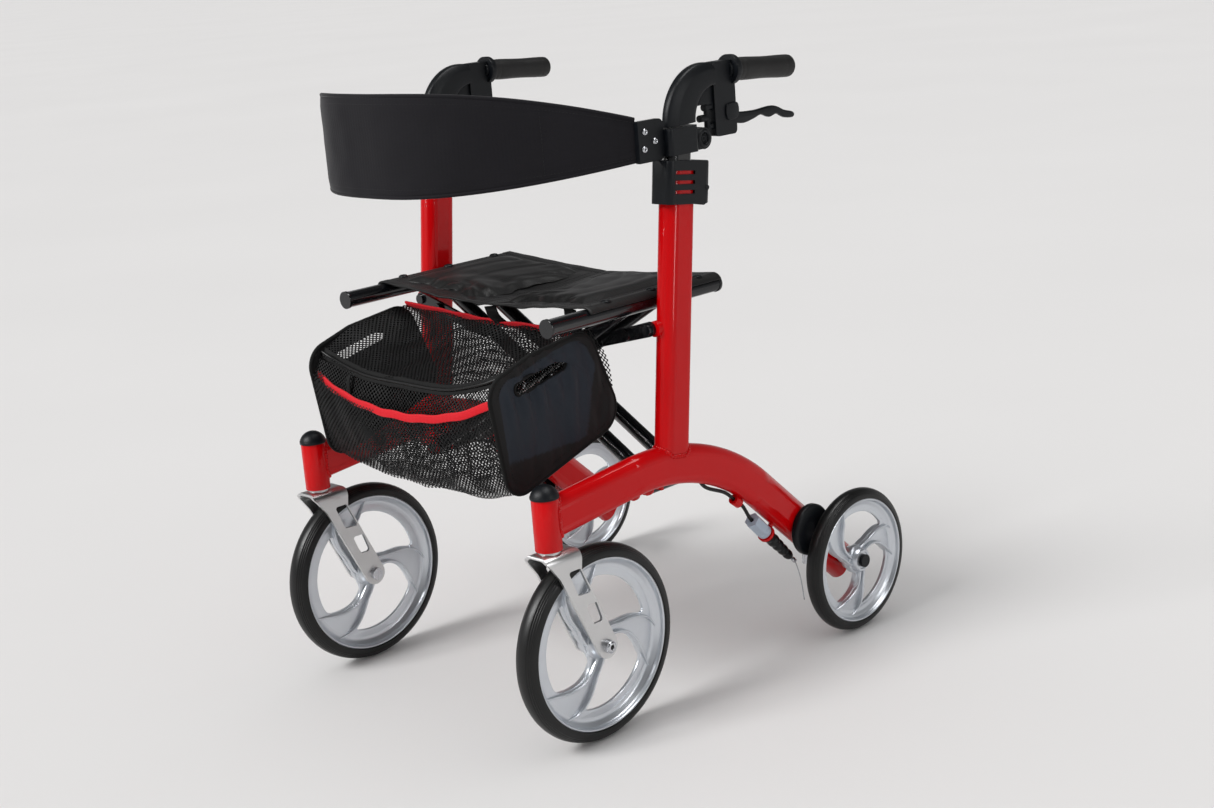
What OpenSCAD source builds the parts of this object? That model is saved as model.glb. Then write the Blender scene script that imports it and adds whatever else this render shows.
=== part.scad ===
// Rollator walker: two side frames joined by a folding cross brace, with a
// flexible seat, a bag under it, a backrest band, four wheels and rim-side
// brakes worked from the handles.
// Millimetres. +Z is up, the floor is z = 0, the casters and the bag face -Y and
// +X is the user's left. The origin is on the floor under the middle.

/* [Overall] */
// Distance from the middle plane to the middle of each side frame
side_x = 234; // [228:1:240]
// Half of the overall length, from tyre to tyre
half_length = 350.5; // [349:0.5:352]

/* [Front wheels] */
// Outer radius of a front tyre
front_r = 127; // [125:0.5:128]
// Width of a front tyre
front_w = 32; // [28:1:33]
// Height of the top of the fork crown
crown_z = 265; // [264.5:0.5:266]
// Distance from the swivel axis back to the front axle
trail = 63.5; // [60:0.5:66]

/* [Rear wheels] */
// Outer radius of a rear tyre
rear_r = 101.5; // [100:0.5:102]
// Width of a rear tyre
rear_w = 25; // [22:1:25]
// Distance from the middle plane to the middle of a rear tyre
rear_x = 273.5; // [273.5:0.5:275]

/* [Side frame] */
// Width of the arch tube and the upright
tube_w = 30; // [28:1:30]
// Depth of the arch tube
arch_d = 52; // [48:1:54]
// Depth of the upright tube
post_d = 50; // [46:1:51]
// Wall of the frame tubes
wall = 2; // [1.5:0.5:2.5]
// Radius of the arch's middle line
arch_r = 305; // [300:1:310]
// Rise of the front leg of the arch
front_slope = 5.5; // [5:0.5:6]
// Fall of the rear leg of the arch
rear_slope = 42.3; // [42:0.1:43]
// Backward lean of the upright
lean = 7.1; // [6.8:0.1:7.4]
// Outer diameter of the caster tube
head_d = 34; // [32:1:36]

/* [Handles] */
// Diameter of the grip
grip_d = 30; // [28:1:32]
// Fall of the grip towards its end
grip_fall = 3.6; // [0:0.2:5]
// Thickness of the curved handle neck
neck_w = 24; // [20:1:26]

/* [Seat and brace] */
// Distance from the middle plane to a seat rail
rail_x = 200; // [198:0.5:200]
// Height of the seat rails
rail_z = 524; // [520:1:526]
// Diameter of a seat rail
rail_d = 22; // [20:1:22]
// Height of the lower brace pivots
pivot_z = 285; // [284:1:286]
// Diameter of a brace tube
brace_d = 20; // [18:1:20]
// Reach of a seat panel from its rail
pad_reach = 157; // [150:1:157]

/* [Bag and backrest] */
// Distance from the middle plane to a side panel of the bag
bag_x = 180; // [176:1:181]
// How far the backrest band stands in front of its brackets
band_depth = 240; // [220:5:245]
// Height of the backrest band at its middle
band_h = 121; // [110:1:125]

/* [Hidden] */
$fn = 96;

// Front wheel and caster
swivel_y = -(half_length - front_r) - trail;
front_y = swivel_y + trail;
fork_in = front_w / 2 + 2.5;
fork_t = 4;
fork_end = 16;
fork_neck = [swivel_y, swivel_y + 24];
fork_crown = [swivel_y - 18, swivel_y + 28];
// corners of the two openings of a leg, from the axle
fork_openings = [[[-51, 110], [-38, 110], [-25, 81], [-40, 82]],
                 [[-27, 60], [-16, 60], [-9, 39], [-19, 39]]];
stem_d = 12;
pin_d = 12;
axle_d = 10;
running = 0.05;

// Rear wheel
rear_y = half_length - rear_r;
hub_in = rear_x - rear_w / 2 - 2;
hub_out = rear_x + rear_w / 2 + 1;

// Arch: a straight front leg, an arc and a straight rear leg
knee_y = -140;
knee_z = 318.5;
arc_y = knee_y + arch_r * sin(front_slope);
arc_z = knee_z - arch_r * cos(front_slope);
bend_y = arc_y + arch_r * sin(rear_slope);
bend_z = arc_z + arch_r * cos(rear_slope);
front_leg = (knee_y - swivel_y) / cos(front_slope);
rear_leg = (rear_y - bend_y) / cos(rear_slope) + 22;
head_z = [crown_z + 3, crown_z + 68];

// Upright, clamp and handle heights, measured along the leaning upright
post_w = tube_w - 0.4;
post_foot = [side_x, -65, 335];
post_top = 362;
clamp_low = 313;
clamp_high = 367;
catch_at = [38, clamp_low + 20];
tube_low = 160;
tube_high = 405;
collar_z = [707, 740];
drum_at = [178, 162];
cable_d = 5;
clip_run = [[side_x, 28, 253.5], [side_x, 63, 224.7]];
clip_way = clip_run[1] - clip_run[0];
lever_at = [84, 741];
lever_t = 7;
grip_z = 799;
grip_start = 91;
grip_len = 112;
collar_y = [-44, 8];
housing_y = [48, 88];
housing_w = 15;

// Brace tubes lie side by side: two of brace a and two of brace b
brace_a_y = [-66, -12];
brace_b_y = [-93, -39];
bolt_d = 10;
brace_rise = rail_z - pivot_z;
brace_angle = atan2(brace_rise, 2 * rail_x);
centre_z = (rail_z + pivot_z) / 2;
rail_y = [-231, 74.5];

// Upper link from the upright's boss to brace b, in its own plane
link_y = -82;
link_t = 5;
link_a = [224, 495];
link_reach = 109;
link_b = [link_reach * cos(brace_angle), centre_z + link_reach * sin(brace_angle)];

red = [0.72, 0.02, 0.04];
black = [0.06, 0.06, 0.065];
silver = [0.75, 0.76, 0.78];
rubber = [0.03, 0.03, 0.03];
zinc = [0.8, 0.8, 0.82];
grey = [0.55, 0.58, 0.62];
navy = [0.07, 0.09, 0.13];

// ---- shared shapes ----

// Draws the left part, or its mirror image on the right
module side(s) { if (s > 0) children(); else mirror([1, 0, 0]) children(); }

// A round bar from p to q
module rod(p, q, d) {
    v = q - p;
    len = norm(v);
    translate(p) rotate([0, acos(v[2] / len), atan2(v[1], v[0])])
        cylinder(d = d, h = len);
}

// A round bar along X at (y, z)
module xbar(y, z, x0, x1, d) {
    translate([x0, y, z]) rotate([0, 90, 0]) cylinder(d = d, h = x1 - x0);
}

// A round bar along Y at (x, z)
module ybar(x, z, y0, y1, d) {
    translate([x, y0, z]) rotate([-90, 0, 0]) cylinder(d = d, h = y1 - y0);
}

// A point y along the lower run of the brake cable, which falls at 45 degrees
function on_cable(y) = [side_x, y, 280 - y];

// A flat-sided oval, w across and d deep
module oval(w, d) {
    square([w, d - w], center = true);
    for (k = [-1, 1]) translate([0, k * (d - w) / 2]) circle(d = w);
}

// A rectangle with round corners
module rounded(w, d, r) {
    square([w - 2 * r, d], center = true);
    square([w, d - 2 * r], center = true);
    for (i = [-1, 1], k = [-1, 1])
        translate([i * (w / 2 - r), k * (d / 2 - r)]) circle(r = r);
}

// A plate in the YZ plane: its 2D x is Y and its 2D y is Z
module yz_plate(x0, x1) {
    translate([x0, 0, 0]) rotate([90, 0, 90]) linear_extrude(x1 - x0) children();
}

// A plate in the XZ plane: its 2D x is X and its 2D y is Z
module xz_plate(y0, y1) {
    translate([0, y1, 0]) rotate([90, 0, 0]) linear_extrude(y1 - y0) children();
}

// Moves a child from the upright's own axes to its place
module on_post() { translate(post_foot) rotate([-lean, 0, 0]) children(); }

// ---- side frame ----

// The arch's solid, from the caster tube to the rear end. The legs are a hair
// slimmer than the arc and run a little way into it, so that the three fuse.
module arch(w, d, start, tail) {
    lap = 5;
    slim = 0.2;
    translate([side_x, knee_y, knee_z]) rotate([front_slope - 90, 0, 0])
        translate([0, 0, start - front_leg])
            linear_extrude(front_leg - start + lap) oval(w - slim, d - slim);
    translate([side_x, arc_y, arc_z]) rotate([90, 0, 90])
        rotate([0, 0, 90 - rear_slope])
            rotate_extrude(angle = front_slope + rear_slope)
                translate([arch_r, 0]) rotate([0, 0, 90]) oval(w, d);
    translate([side_x, bend_y, bend_z]) rotate([-rear_slope - 90, 0, 0])
        translate([0, 0, -lap]) linear_extrude(tail + lap) oval(w - slim, d - slim);
}

module side_frame() color(red) difference() {
    union() {
        arch(tube_w, arch_d, 0, rear_leg);
        on_post() translate([0, 0, -25])
            linear_extrude(post_top + 25) oval(post_w, post_d);
        translate([side_x, swivel_y, head_z[0]])
            cylinder(d = head_d, h = head_z[1] - head_z[0]);
        // boss for the upper link, on the front of the upright
        ybar(link_a[0] + 5, link_a[1], link_y + link_t + 0.5, -60, 20);
        // bracket plates for the lower brace pivot, inside the arch
        for (y = [-106, -80, 1]) xz_plate(y - 2, y + 2) {
            translate([rail_x, pivot_z]) circle(d = 23);
            translate([rail_x - 6, pivot_z]) square([side_x - rail_x, 30]);
        }
        // clip for the brake cable and stop for its adjuster, under the arch
        rod(clip_run[0] + 0.5 * clip_way, clip_run[0] + 0.8 * clip_way, 14);
        rod(on_cable(106), on_cable(109), 24);
        rod(on_cable(108), on_cable(108) + [0, 16, 16], 7);
    }
    arch(tube_w - 2 * wall, arch_d - 2 * wall, head_d / 2 + 4, rear_leg + 1);
    on_post() translate([0, 0, -12])
        linear_extrude(post_top + 20) oval(post_w - 2 * wall, post_d - 2 * wall);
    translate([side_x, swivel_y, head_z[0] - 1])
        cylinder(d = stem_d + 2 * running, h = 55);
    xbar(rear_y, rear_r, side_x - 30, side_x + 30, axle_d + 2 * running);
    ybar(rail_x, pivot_z, -120, 20, pin_d + 2 * running);
    rod(clip_run[0], clip_run[1], cable_d + 1.5);
    rod(on_cable(97), on_cable(117), 8);
    // hole where the cable leaves the arch
    rod([side_x, -30, 297.3], [side_x, -4, 267.2], cable_d + 2);
}

// Domed cap on the caster tube
module caster_cap() color(black)
    translate([side_x, swivel_y, head_z[1]]) {
        cylinder(d = head_d + 2, h = 3);
        translate([0, 0, 3]) intersection() {
            translate([0, 0, -5]) sphere(r = head_d / 2 + 1.5);
            cylinder(d = head_d + 4, h = 30);
        }
    }

// Cup that covers the brake arm on the outside of the arch
module brake_drum() color(black) difference() {
    union() {
        xbar(drum_at[0], drum_at[1], side_x + tube_w / 2, rear_x - rear_w / 2 - 3, 72);
        xbar(drum_at[0], drum_at[1], side_x + tube_w / 2, rear_x - rear_w / 2 - 1.5, 62);
    }
    xbar(drum_at[0], drum_at[1], side_x + tube_w / 2 - 1, rear_x - rear_w / 2 - 5, 66);
    xbar(drum_at[0] + 8, drum_at[1] - 4, 250, 270, 6);
    // way out for the brake arm
    translate([side_x + tube_w / 2 - 1, drum_at[0] - 34, drum_at[1] - 50])
        cube([6, 46, 34]);
}

// Axle of the rear wheel, through the rear end of the arch
module rear_axle() color(black) {
    xbar(rear_y, rear_r, side_x - tube_w / 2 - 6, hub_out + 1, axle_d);
    xbar(rear_y, rear_r, side_x - tube_w / 2 - 9, side_x - tube_w / 2, 20);
    xbar(rear_y, rear_r, side_x + tube_w / 2, hub_in - running, 20);
    xbar(rear_y, rear_r, hub_out + running, 292, 18);
}

// Clamp housing round the top of the upright, with three slots
module height_clamp() color(black) on_post() difference() {
    intersection() {
        translate([0, 7, clamp_low])
            linear_extrude(clamp_high - clamp_low) rounded(35, 76, 9);
        // side view: square in front, round corners at the rear
        translate([-20, 7, clamp_low]) rotate([90, 0, 90]) linear_extrude(40) {
            translate([0, (clamp_high - clamp_low) / 2])
                rounded(76, clamp_high - clamp_low, 9);
            translate([-38, 0]) square([38, clamp_high - clamp_low]);
        }
    }
    translate([0, 0, clamp_low - 1])
        linear_extrude(post_top - clamp_low + 1.1) oval(tube_w, post_d);
    translate([0, 0, clamp_low])
        linear_extrude(60) oval(24, 42);
    for (k = [0:2]) translate([10, -20, clamp_low + 13 + 12 * k]) cube([10, 35, 4.5]);
    // recess for the clamp lever
    translate([-8, catch_at[0] - 6.5, clamp_low - 1]) cube([16, 30, 40]);
    translate([0, catch_at[0], catch_at[1]]) rotate([0, 90, 0])
        cylinder(d = 6 + 2 * running, h = 60, center = true);
}

// Lever that locks the handle height, on its pin
module height_lever() color(black) on_post() translate([0, catch_at[0], catch_at[1]]) {
    rotate([0, 90, 0]) cylinder(d = 6, h = 36, center = true);
    rotate([0, 90, 0]) cylinder(d = 11, h = 14, center = true);
    translate([-7, -1, -17]) cube([14, 12, 17]);
    translate([0, 5, -17]) rotate([0, 90, 0]) cylinder(d = 11, h = 14, center = true);
}

// ---- handle ----

// Inner tube that slides in the upright
module height_tube() color(black) on_post() difference() {
    translate([0, 0, tube_low]) linear_extrude(tube_high - tube_low) oval(22, 40);
    translate([0, 0, tube_low - 1])
        linear_extrude(tube_high - tube_low - 9) oval(18, 36);
}

// Collar on the inner tube, with the round cable socket behind it
module collar() color(black) difference() {
    union() {
        translate([side_x, (collar_y[0] + collar_y[1]) / 2, collar_z[0]])
            linear_extrude(collar_z[1] - collar_z[0])
                rounded(30, collar_y[1] - collar_y[0], 6);
        xbar(21, 721, side_x - 11, side_x + 11, 27);
        translate([side_x - 11, 0, 708]) cube([22, 21, 26]);
    }
    on_post() translate([0, 0, 350]) linear_extrude(tube_high - 350) oval(22, 40);
    xbar(21, 721, side_x + 5, side_x + 20, 14);
}

// Curved neck from the collar to the brake housing
module handle_neck() color(black)
    yz_plate(side_x - neck_w / 2, side_x + neck_w / 2) intersection() {
        difference() {
            translate([35, 741]) circle(r = 72);
            translate([46, 742]) circle(r = 42);
        }
        translate([-50, collar_z[1]]) square([50 + housing_y[0], 90]);
    }

// Tube that carries the grip, and the block that holds the brake lever
module brake_housing() color(black) {
    difference() {
        union() {
            yz_plate(side_x - housing_w / 2, side_x + housing_w / 2)
                translate([(housing_y[0] + housing_y[1]) / 2, 765.5])
                    rounded(housing_y[1] - housing_y[0], 93, 6);
            translate([side_x, grip_start, grip_z]) rotate([-90 - grip_fall, 0, 0])
                translate([0, 0, -12]) cylinder(d = 22, h = 112);
            translate([side_x, grip_start, grip_z]) rotate([-90 - grip_fall, 0, 0])
                translate([0, 0, -8]) cylinder(d = 38, h = 8);
        }
        // slot and pin hole of the brake lever
        translate([side_x - lever_t / 2 - 0.5, lever_at[0] - 10, 715])
            cube([lever_t + 1, 30, 46]);
        xbar(lever_at[0], lever_at[1], side_x - 20, side_x + 20, 6 + 2 * running);
    }
    // cable stops between the neck and the block
    rod([side_x, 40, 727], [side_x, 40, 763], 8);
    ybar(side_x, 733, 40, housing_y[0] + 1, 9);
    ybar(side_x, 757, 34, housing_y[0] + 1, 9);
    ybar(side_x, 744, 25, 40, 9);
}

// Soft grip with a domed end and finger swells underneath
module grip() color(rubber)
    translate([side_x, grip_start, grip_z]) rotate([-90 - grip_fall, 0, 0]) {
        difference() {
            union() {
                translate([0, 0, 1.5]) cylinder(d = grip_d, h = grip_len - 11);
                translate([0, 0, grip_len - 9.5])
                    cylinder(d1 = grip_d, d2 = grip_d - 6, h = 7);
                translate([0, 0, grip_len - 2.5]) cylinder(d = grip_d - 6, h = 2.5);
            }
            translate([0, 0, -1]) cylinder(d = 22, h = 101.5);
        }
    }

// Plate that joins the backrest band to the collar, with three rivets
module backrest_bracket() color(black) {
    yz_plate(side_x - 3.5, side_x + 3.5) difference() {
        translate([collar_y[0] - 26, 729]) rounded(52, 51, 8);
        translate([-100, 690]) square([12, 80]);
    }
    for (p = [[-77, 741], [-60, 728], [-79, 720]])
        xbar(p[0], p[1], side_x + 3.5, side_x + 5.5, 7);
}

// Brake lever, from its pin back under the grip
module brake_lever() color(black) {
    xbar(lever_at[0], lever_at[1], side_x - housing_w / 2 - 2, side_x + housing_w / 2 + 2, 6);
    xbar(lever_at[0], lever_at[1], side_x - lever_t / 2, side_x + lever_t / 2, 16);
    yz_plate(side_x - lever_t / 2, side_x + lever_t / 2) polygon([
        [84, 749], [100, 744], [130, 743], [170, 744], [190, 735], [206, 731],
        [207, 725], [188, 726], [172, 733], [158, 731], [142, 736], [126, 733],
        [108, 730], [84, 733]]);
}

// ---- brakes ----

// Outer cable under the arch, its rubber boot and the bare wire
module brake_cable() color(black) {
    path = [[side_x, -22, 288], [side_x, -6, 269.5], clip_run[0], clip_run[1],
            on_cable(77), on_cable(114)];
    for (i = [0:len(path) - 2]) rod(path[i], path[i + 1], cable_d);
    for (i = [1:len(path) - 2]) translate(path[i]) sphere(d = cable_d + 0.6);
    // ribs of the boot
    for (k = [0:4]) rod(on_cable(112 + 8 * k), on_cable(117 + 8 * k), 15 - k);
    rod(on_cable(113), on_cable(154), 7);
    // bare wire
    rod(on_cable(151), [side_x + 11, 168, 112], 1.6);
    rod([side_x + 10.6, 167.4, 112.6], [side_x + 12, 181, 54], 1.2);
}

// Barrel adjuster on the cable
module cable_adjuster() color(grey) difference() {
    union() {
        rod(on_cable(98), on_cable(105), 20);
        rod(on_cable(80), on_cable(99), 22, $fn = 6);
    }
    rod(on_cable(60), on_cable(120), cable_d + 1.5);
}

// Arm inside the brake cover, turned by the cable
module brake_arm() color(zinc) {
    x0 = side_x + tube_w / 2 + 0.6;
    yz_plate(x0, x0 + 3) hull() {
        translate(drum_at) circle(d = 22, $fn = 32);
        translate([166, 119]) circle(d = 9, $fn = 32);
    }
}

// ---- caster and wheels ----

// Bent strap fork with two openings in each leg
module caster_fork() color(silver) {
    difference() {
        intersection() {
            translate([0, swivel_y - 60, 0]) rotate([90, 0, 0]) mirror([0, 0, 1])
                linear_extrude(160) difference() {
                    translate([side_x, crown_z - 100])
                        rounded(2 * (fork_in + fork_t), 200, 15);
                    translate([side_x, crown_z - fork_t - 100])
                        rounded(2 * fork_in, 200, 11);
                }
            yz_plate(side_x - 40, side_x + 40) {
                hull() {
                    translate([front_y, front_r]) circle(r = fork_end, $fn = 48);
                    for (y = fork_neck) translate([y, crown_z - 28]) circle(r = 6, $fn = 24);
                }
                hull() {
                    for (y = fork_neck) translate([y, crown_z - 28]) circle(r = 6, $fn = 24);
                    for (y = fork_crown) translate([y, crown_z - 5]) circle(r = 5, $fn = 24);
                }
            }
        }
        yz_plate(side_x - 40, side_x + 40) {
            for (corners = fork_openings)
                hull() for (p = corners)
                    translate([front_y, front_r] + p) circle(r = 3, $fn = 24);
        }
        xbar(front_y, front_r, side_x - 40, side_x + 40, axle_d);
    }
    translate([side_x, swivel_y, crown_z - 1]) cylinder(d = stem_d, h = 52);
    translate([side_x, swivel_y, crown_z - 1]) cylinder(d = 28, h = 3.5);
}

// Bolt through the fork and the front hub, with its nut
module front_axle() color(zinc) {
    out = fork_in + fork_t;
    xbar(front_y, front_r, side_x - out - 2, side_x + out + 2, axle_d);
    xbar(front_y, front_r, side_x + out, side_x + out + 6, 17);
    xbar(front_y, front_r, side_x - out - 6, side_x - out, 17);
}

// A tyre: outer radius r, width w, on a rim seat of radius seat
module tyre(r, w, seat) color(rubber) rotate([0, 90, 0]) rotate_extrude()
    difference() {
        union() {
            translate([(seat + r) / 2 - 2, 0]) rounded(r - seat - 4, w, 3);
            translate([r - w / 2 + 0.5, 0]) circle(d = w - 1);
            translate([r - 8, 0]) rounded(16, w - 6, 7.9);
        }
        translate([0, -w]) square([seat, 2 * w]);
        translate([r, -w]) square([9, 2 * w]);
    }

// A rim: outer radius r, width w, with a hub and three curved spokes
module rim(r, w, hub_w, hub_shift, phase) color(silver) rotate([90, 0, 90])
    difference() {
        union() {
            rotate_extrude() {
                translate([r - 5, -w / 2]) square([5, w]);
                for (k = [-1, 1])
                    translate([r - 7, k * (w / 2 - 1.5) - 1.5]) square([3, 3]);
                translate([r - 14, -3]) square([10, 6]);
            }
            for (a = [0:120:240]) rotate([0, 0, a + phase]) spoke(r);
            translate([0, 0, -5]) cylinder(d = 48, h = 10);
            translate([0, 0, hub_shift - hub_w / 2]) cylinder(d = 34, h = hub_w);
        }
        translate([0, 0, -40]) cylinder(d = axle_d + 2 * running, h = 80);
    }

// One curved spoke: a web between two ribs that part towards the rim
module spoke(r) {
    ribs = [[0.202, -0.396, 0.739], [-0.027, -0.495, 0.685]];
    rib_t = 3.5;
    intersection() {
        union() {
            linear_extrude(5, center = true) difference() {
                translate([ribs[0][0] * r, ribs[0][1] * r]) circle(r = ribs[0][2] * r);
                translate([ribs[1][0] * r, ribs[1][1] * r]) circle(r = ribs[1][2] * r);
            }
            for (p = ribs) linear_extrude(13, center = true)
                translate([p[0] * r, p[1] * r]) difference() {
                    circle(r = p[2] * r);
                    circle(r = p[2] * r - rib_t);
                }
        }
        translate([-14, -r, -10]) cube([2 * r, 2 * r, 20]);
        translate([0, 0, -10]) cylinder(r = r - 4, h = 20);
    }
}

module front_tyre() translate([side_x, front_y, front_r]) tyre(front_r, front_w, 111);
module front_rim() translate([side_x, front_y, front_r])
    rim(111, front_w - 5, 2 * fork_in - 1, 0, 0);
module rear_tyre() translate([rear_x, rear_y, rear_r]) tyre(rear_r, rear_w, 88);
module rear_rim() translate([rear_x, rear_y, rear_r])
    rim(88, rear_w - 2, hub_out - hub_in, (hub_out + hub_in) / 2 - rear_x, 23);

// ---- folding brace and seat ----

// One tube of a brace, from the lower pivot up to the opposite rail
module brace_tube(y, s) {
    a = [s * rail_x, y, pivot_z];
    b = [-s * rail_x, y, rail_z];
    u = (b - a) / norm(b - a);
    difference() {
        rod(a + 6 * u, b - 5 * u, brace_d);
        ybar(b[0], b[2], y - 20, y + 20, rail_d);
        ybar(0, centre_z, y - 20, y + 20, bolt_d + 2 * running);
    }
}

module brace_a() color(black) {
    for (y = brace_a_y) brace_tube(y, 1);
    ybar(rail_x, pivot_z, -77.5, -1.5, 22);
    ybar(rail_x, pivot_z, -84, 5, pin_d);
}

module brace_b() color(black) {
    for (y = brace_b_y) brace_tube(y, -1);
    ybar(-rail_x, pivot_z, -103.5, -82.5, 22);
    ybar(-rail_x, pivot_z, -77.5, -1.5, 22);
    ybar(-rail_x, pivot_z, -110, 5, pin_d);
}

// Bolt at the crossing of the braces
module brace_pivot() color(zinc) {
    ybar(0, centre_z, -107, 2, bolt_d);
    ybar(0, centre_z, -107, -103.5, 18);
    ybar(0, centre_z, -1.5, 4, 18);
}

// Rail with plugged ends
module seat_rail(s) color(black) difference() {
    union() {
        ybar(s * rail_x, rail_z, rail_y[0], rail_y[1], rail_d);
        ybar(s * rail_x, rail_z, rail_y[0], rail_y[0] + 4, rail_d + 2);
        ybar(s * rail_x, rail_z, rail_y[1] - 4, rail_y[1], rail_d + 2);
    }
    ybar(s * rail_x, rail_z, rail_y[0] + 6, rail_y[1] - 6, rail_d - 4);
}

// Half of the seat, turning on its rail
module seat_pad() color([0.1, 0.1, 0.1]) xz_plate(-165, 70) polygon([
    for (p = [[0, 12], [12, 11.8], [60, 5], [pad_reach, -3],
              [pad_reach, 4], [60, 12.5], [12, 15.5], [0, 15.5]])
        [rail_x - p[0], rail_z + p[1]]]);

// Loose middle of the seat, between the two halves
module seat_centre() color([0.1, 0.1, 0.1]) {
    half = rail_x - pad_reach - 1;
    translate([-half, -160, rail_z - 4]) cube([2 * half, 225, 4]);
}

// Link from the upright to brace b: its lower end has clearance to the brace
module brace_link() color(black) {
    xz_plate(link_y, link_y + link_t) hull() {
        translate(link_a) circle(d = 19, $fn = 32);
        translate(link_b) circle(d = 15, $fn = 32);
    }
    ybar(link_a[0], link_a[1], link_y - 4, link_y, 14);
    ybar(186, 485, link_y - 5, link_y, 15);
}

// ---- bag and backrest ----

// Outline of the bag seen from the side, grown by g
module bag_outline(g) hull() {
    translate([-238, 466]) circle(r = 26 + g, $fn = 32);
    translate([-165, 470]) circle(r = 31 + g, $fn = 32);
    translate([-282, 448]) circle(r = 30 + g, $fn = 32);
    translate([-139, 400]) circle(r = 32 + g, $fn = 32);
    translate([-272, 352]) circle(r = 26 + g, $fn = 32);
}

// Stiff side panel with a hand slot
module bag_panel() color(navy) yz_plate(bag_x - 2, bag_x + 2) difference() {
    bag_outline(0);
    hull() for (p = [[-266, 457], [-198, 472]]) translate(p) circle(r = 6, $fn = 24);
}

// Mesh sides and bottom between the panels, open at the top
module bag_mesh() color([0.05, 0.05, 0.05]) difference() {
    yz_plate(-bag_x + 2.5, bag_x - 2.5) hull() {
        bag_outline(-3);
        translate([-220, 325]) circle(r = 28, $fn = 32);
    }
    yz_plate(-bag_x, bag_x) hull() {
        bag_outline(-5);
        translate([-220, 325]) circle(r = 26, $fn = 32);
    }
    yz_plate(-bag_x - 5, bag_x + 5) polygon([
        [-330, 462], [-280, 459], [-140, 490], [-100, 490], [-100, 560], [-330, 560]]);
}

// Mesh lid, from the rear edge down to the front edge of the bag
module bag_lid() color([0.05, 0.05, 0.05]) yz_plate(-bag_x + 3, bag_x - 3) polygon([
    [-303, 463], [-280, 461], [-146, 491.5], [-146, 494], [-280, 464], [-303, 466]]);

// Half width of the backrest band as a fraction of its full width
function band_y(u) = -86 - band_depth * (1 - pow(abs(u), 2.8));

// Curved band between the two brackets, tapering to its ends
module backrest_band() color([0.08, 0.08, 0.085]) {
    half = side_x - 4.5;
    n = 18;
    us = [for (i = [-n:n]) sin(90 * i / n)];
    difference() {
        translate([0, 0, 690]) linear_extrude(band_h) polygon(concat(
            [for (u = us) [half * u, band_y(u)]],
            [for (i = [2 * n:-1:0]) [(half - 5) * us[i], band_y(us[i]) + 5]]));
        for (s = [-1, 1]) xz_plate(-400, 0) {
            polygon([[s * 240, 757], [s * 200, 779], [s * 140, 805], [s * 70, 812],
                     [s * 70, 830], [s * 240, 830]]);
            polygon([[s * 240, 707], [s * 200, 700], [s * 120, 689.9], [s * 120, 680],
                     [s * 240, 680]]);
        }
    }
}

// ---- nodes ----

side(1) side_frame();  // left_side_frame
side(1) caster_cap();  // left_caster_cap
side(1) brake_drum();  // left_brake_drum
side(1) rear_axle();  // left_rear_axle
side(1) height_clamp();  // left_height_clamp
side(1) brake_cable();  // left_brake_cable
side(1) cable_adjuster();  // left_cable_adjuster
side(1) height_lever();  // left_height_lever
side(1) height_tube();  // left_height_tube
side(1) collar();  // left_collar
side(1) handle_neck();  // left_handle_neck
side(1) brake_housing();  // left_brake_housing
side(1) grip();  // left_grip
side(1) backrest_bracket();  // left_backrest_bracket
side(1) brake_lever();  // left_brake_lever
side(1) brake_arm();  // left_brake_arm
side(1) caster_fork();  // left_caster_fork
side(1) front_axle();  // left_front_axle
side(1) front_tyre();  // left_front_tyre
side(1) front_rim();  // left_front_rim
side(1) rear_tyre();  // left_rear_tyre
side(1) rear_rim();  // left_rear_rim
side(-1) side_frame();  // right_side_frame
side(-1) caster_cap();  // right_caster_cap
side(-1) brake_drum();  // right_brake_drum
side(-1) rear_axle();  // right_rear_axle
side(-1) height_clamp();  // right_height_clamp
side(-1) brake_cable();  // right_brake_cable
side(-1) cable_adjuster();  // right_cable_adjuster
side(-1) height_lever();  // right_height_lever
side(-1) height_tube();  // right_height_tube
side(-1) collar();  // right_collar
side(-1) handle_neck();  // right_handle_neck
side(-1) brake_housing();  // right_brake_housing
side(-1) grip();  // right_grip
side(-1) backrest_bracket();  // right_backrest_bracket
side(-1) brake_lever();  // right_brake_lever
side(-1) brake_arm();  // right_brake_arm
side(-1) caster_fork();  // right_caster_fork
side(-1) front_axle();  // right_front_axle
side(-1) front_tyre();  // right_front_tyre
side(-1) front_rim();  // right_front_rim
side(-1) rear_tyre();  // right_rear_tyre
side(-1) rear_rim();  // right_rear_rim
brace_a();
brace_b();
brace_pivot();
seat_rail(1);  // left_seat_rail
seat_rail(-1);  // right_seat_rail
side(1) seat_pad();  // left_seat_pad
side(-1) seat_pad();  // right_seat_pad
seat_centre();
side(1) brace_link();  // left_brace_link
side(-1) brace_link();  // right_brace_link
side(1) bag_panel();  // left_bag_panel
side(-1) bag_panel();  // right_bag_panel
bag_mesh();
bag_lid();
backrest_band();
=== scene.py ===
"""Looks of a rollator walker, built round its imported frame. Lengths below are in millimetres."""

import math

import bmesh
import bpy
import numpy as np
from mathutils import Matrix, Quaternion, Vector, noise


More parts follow.
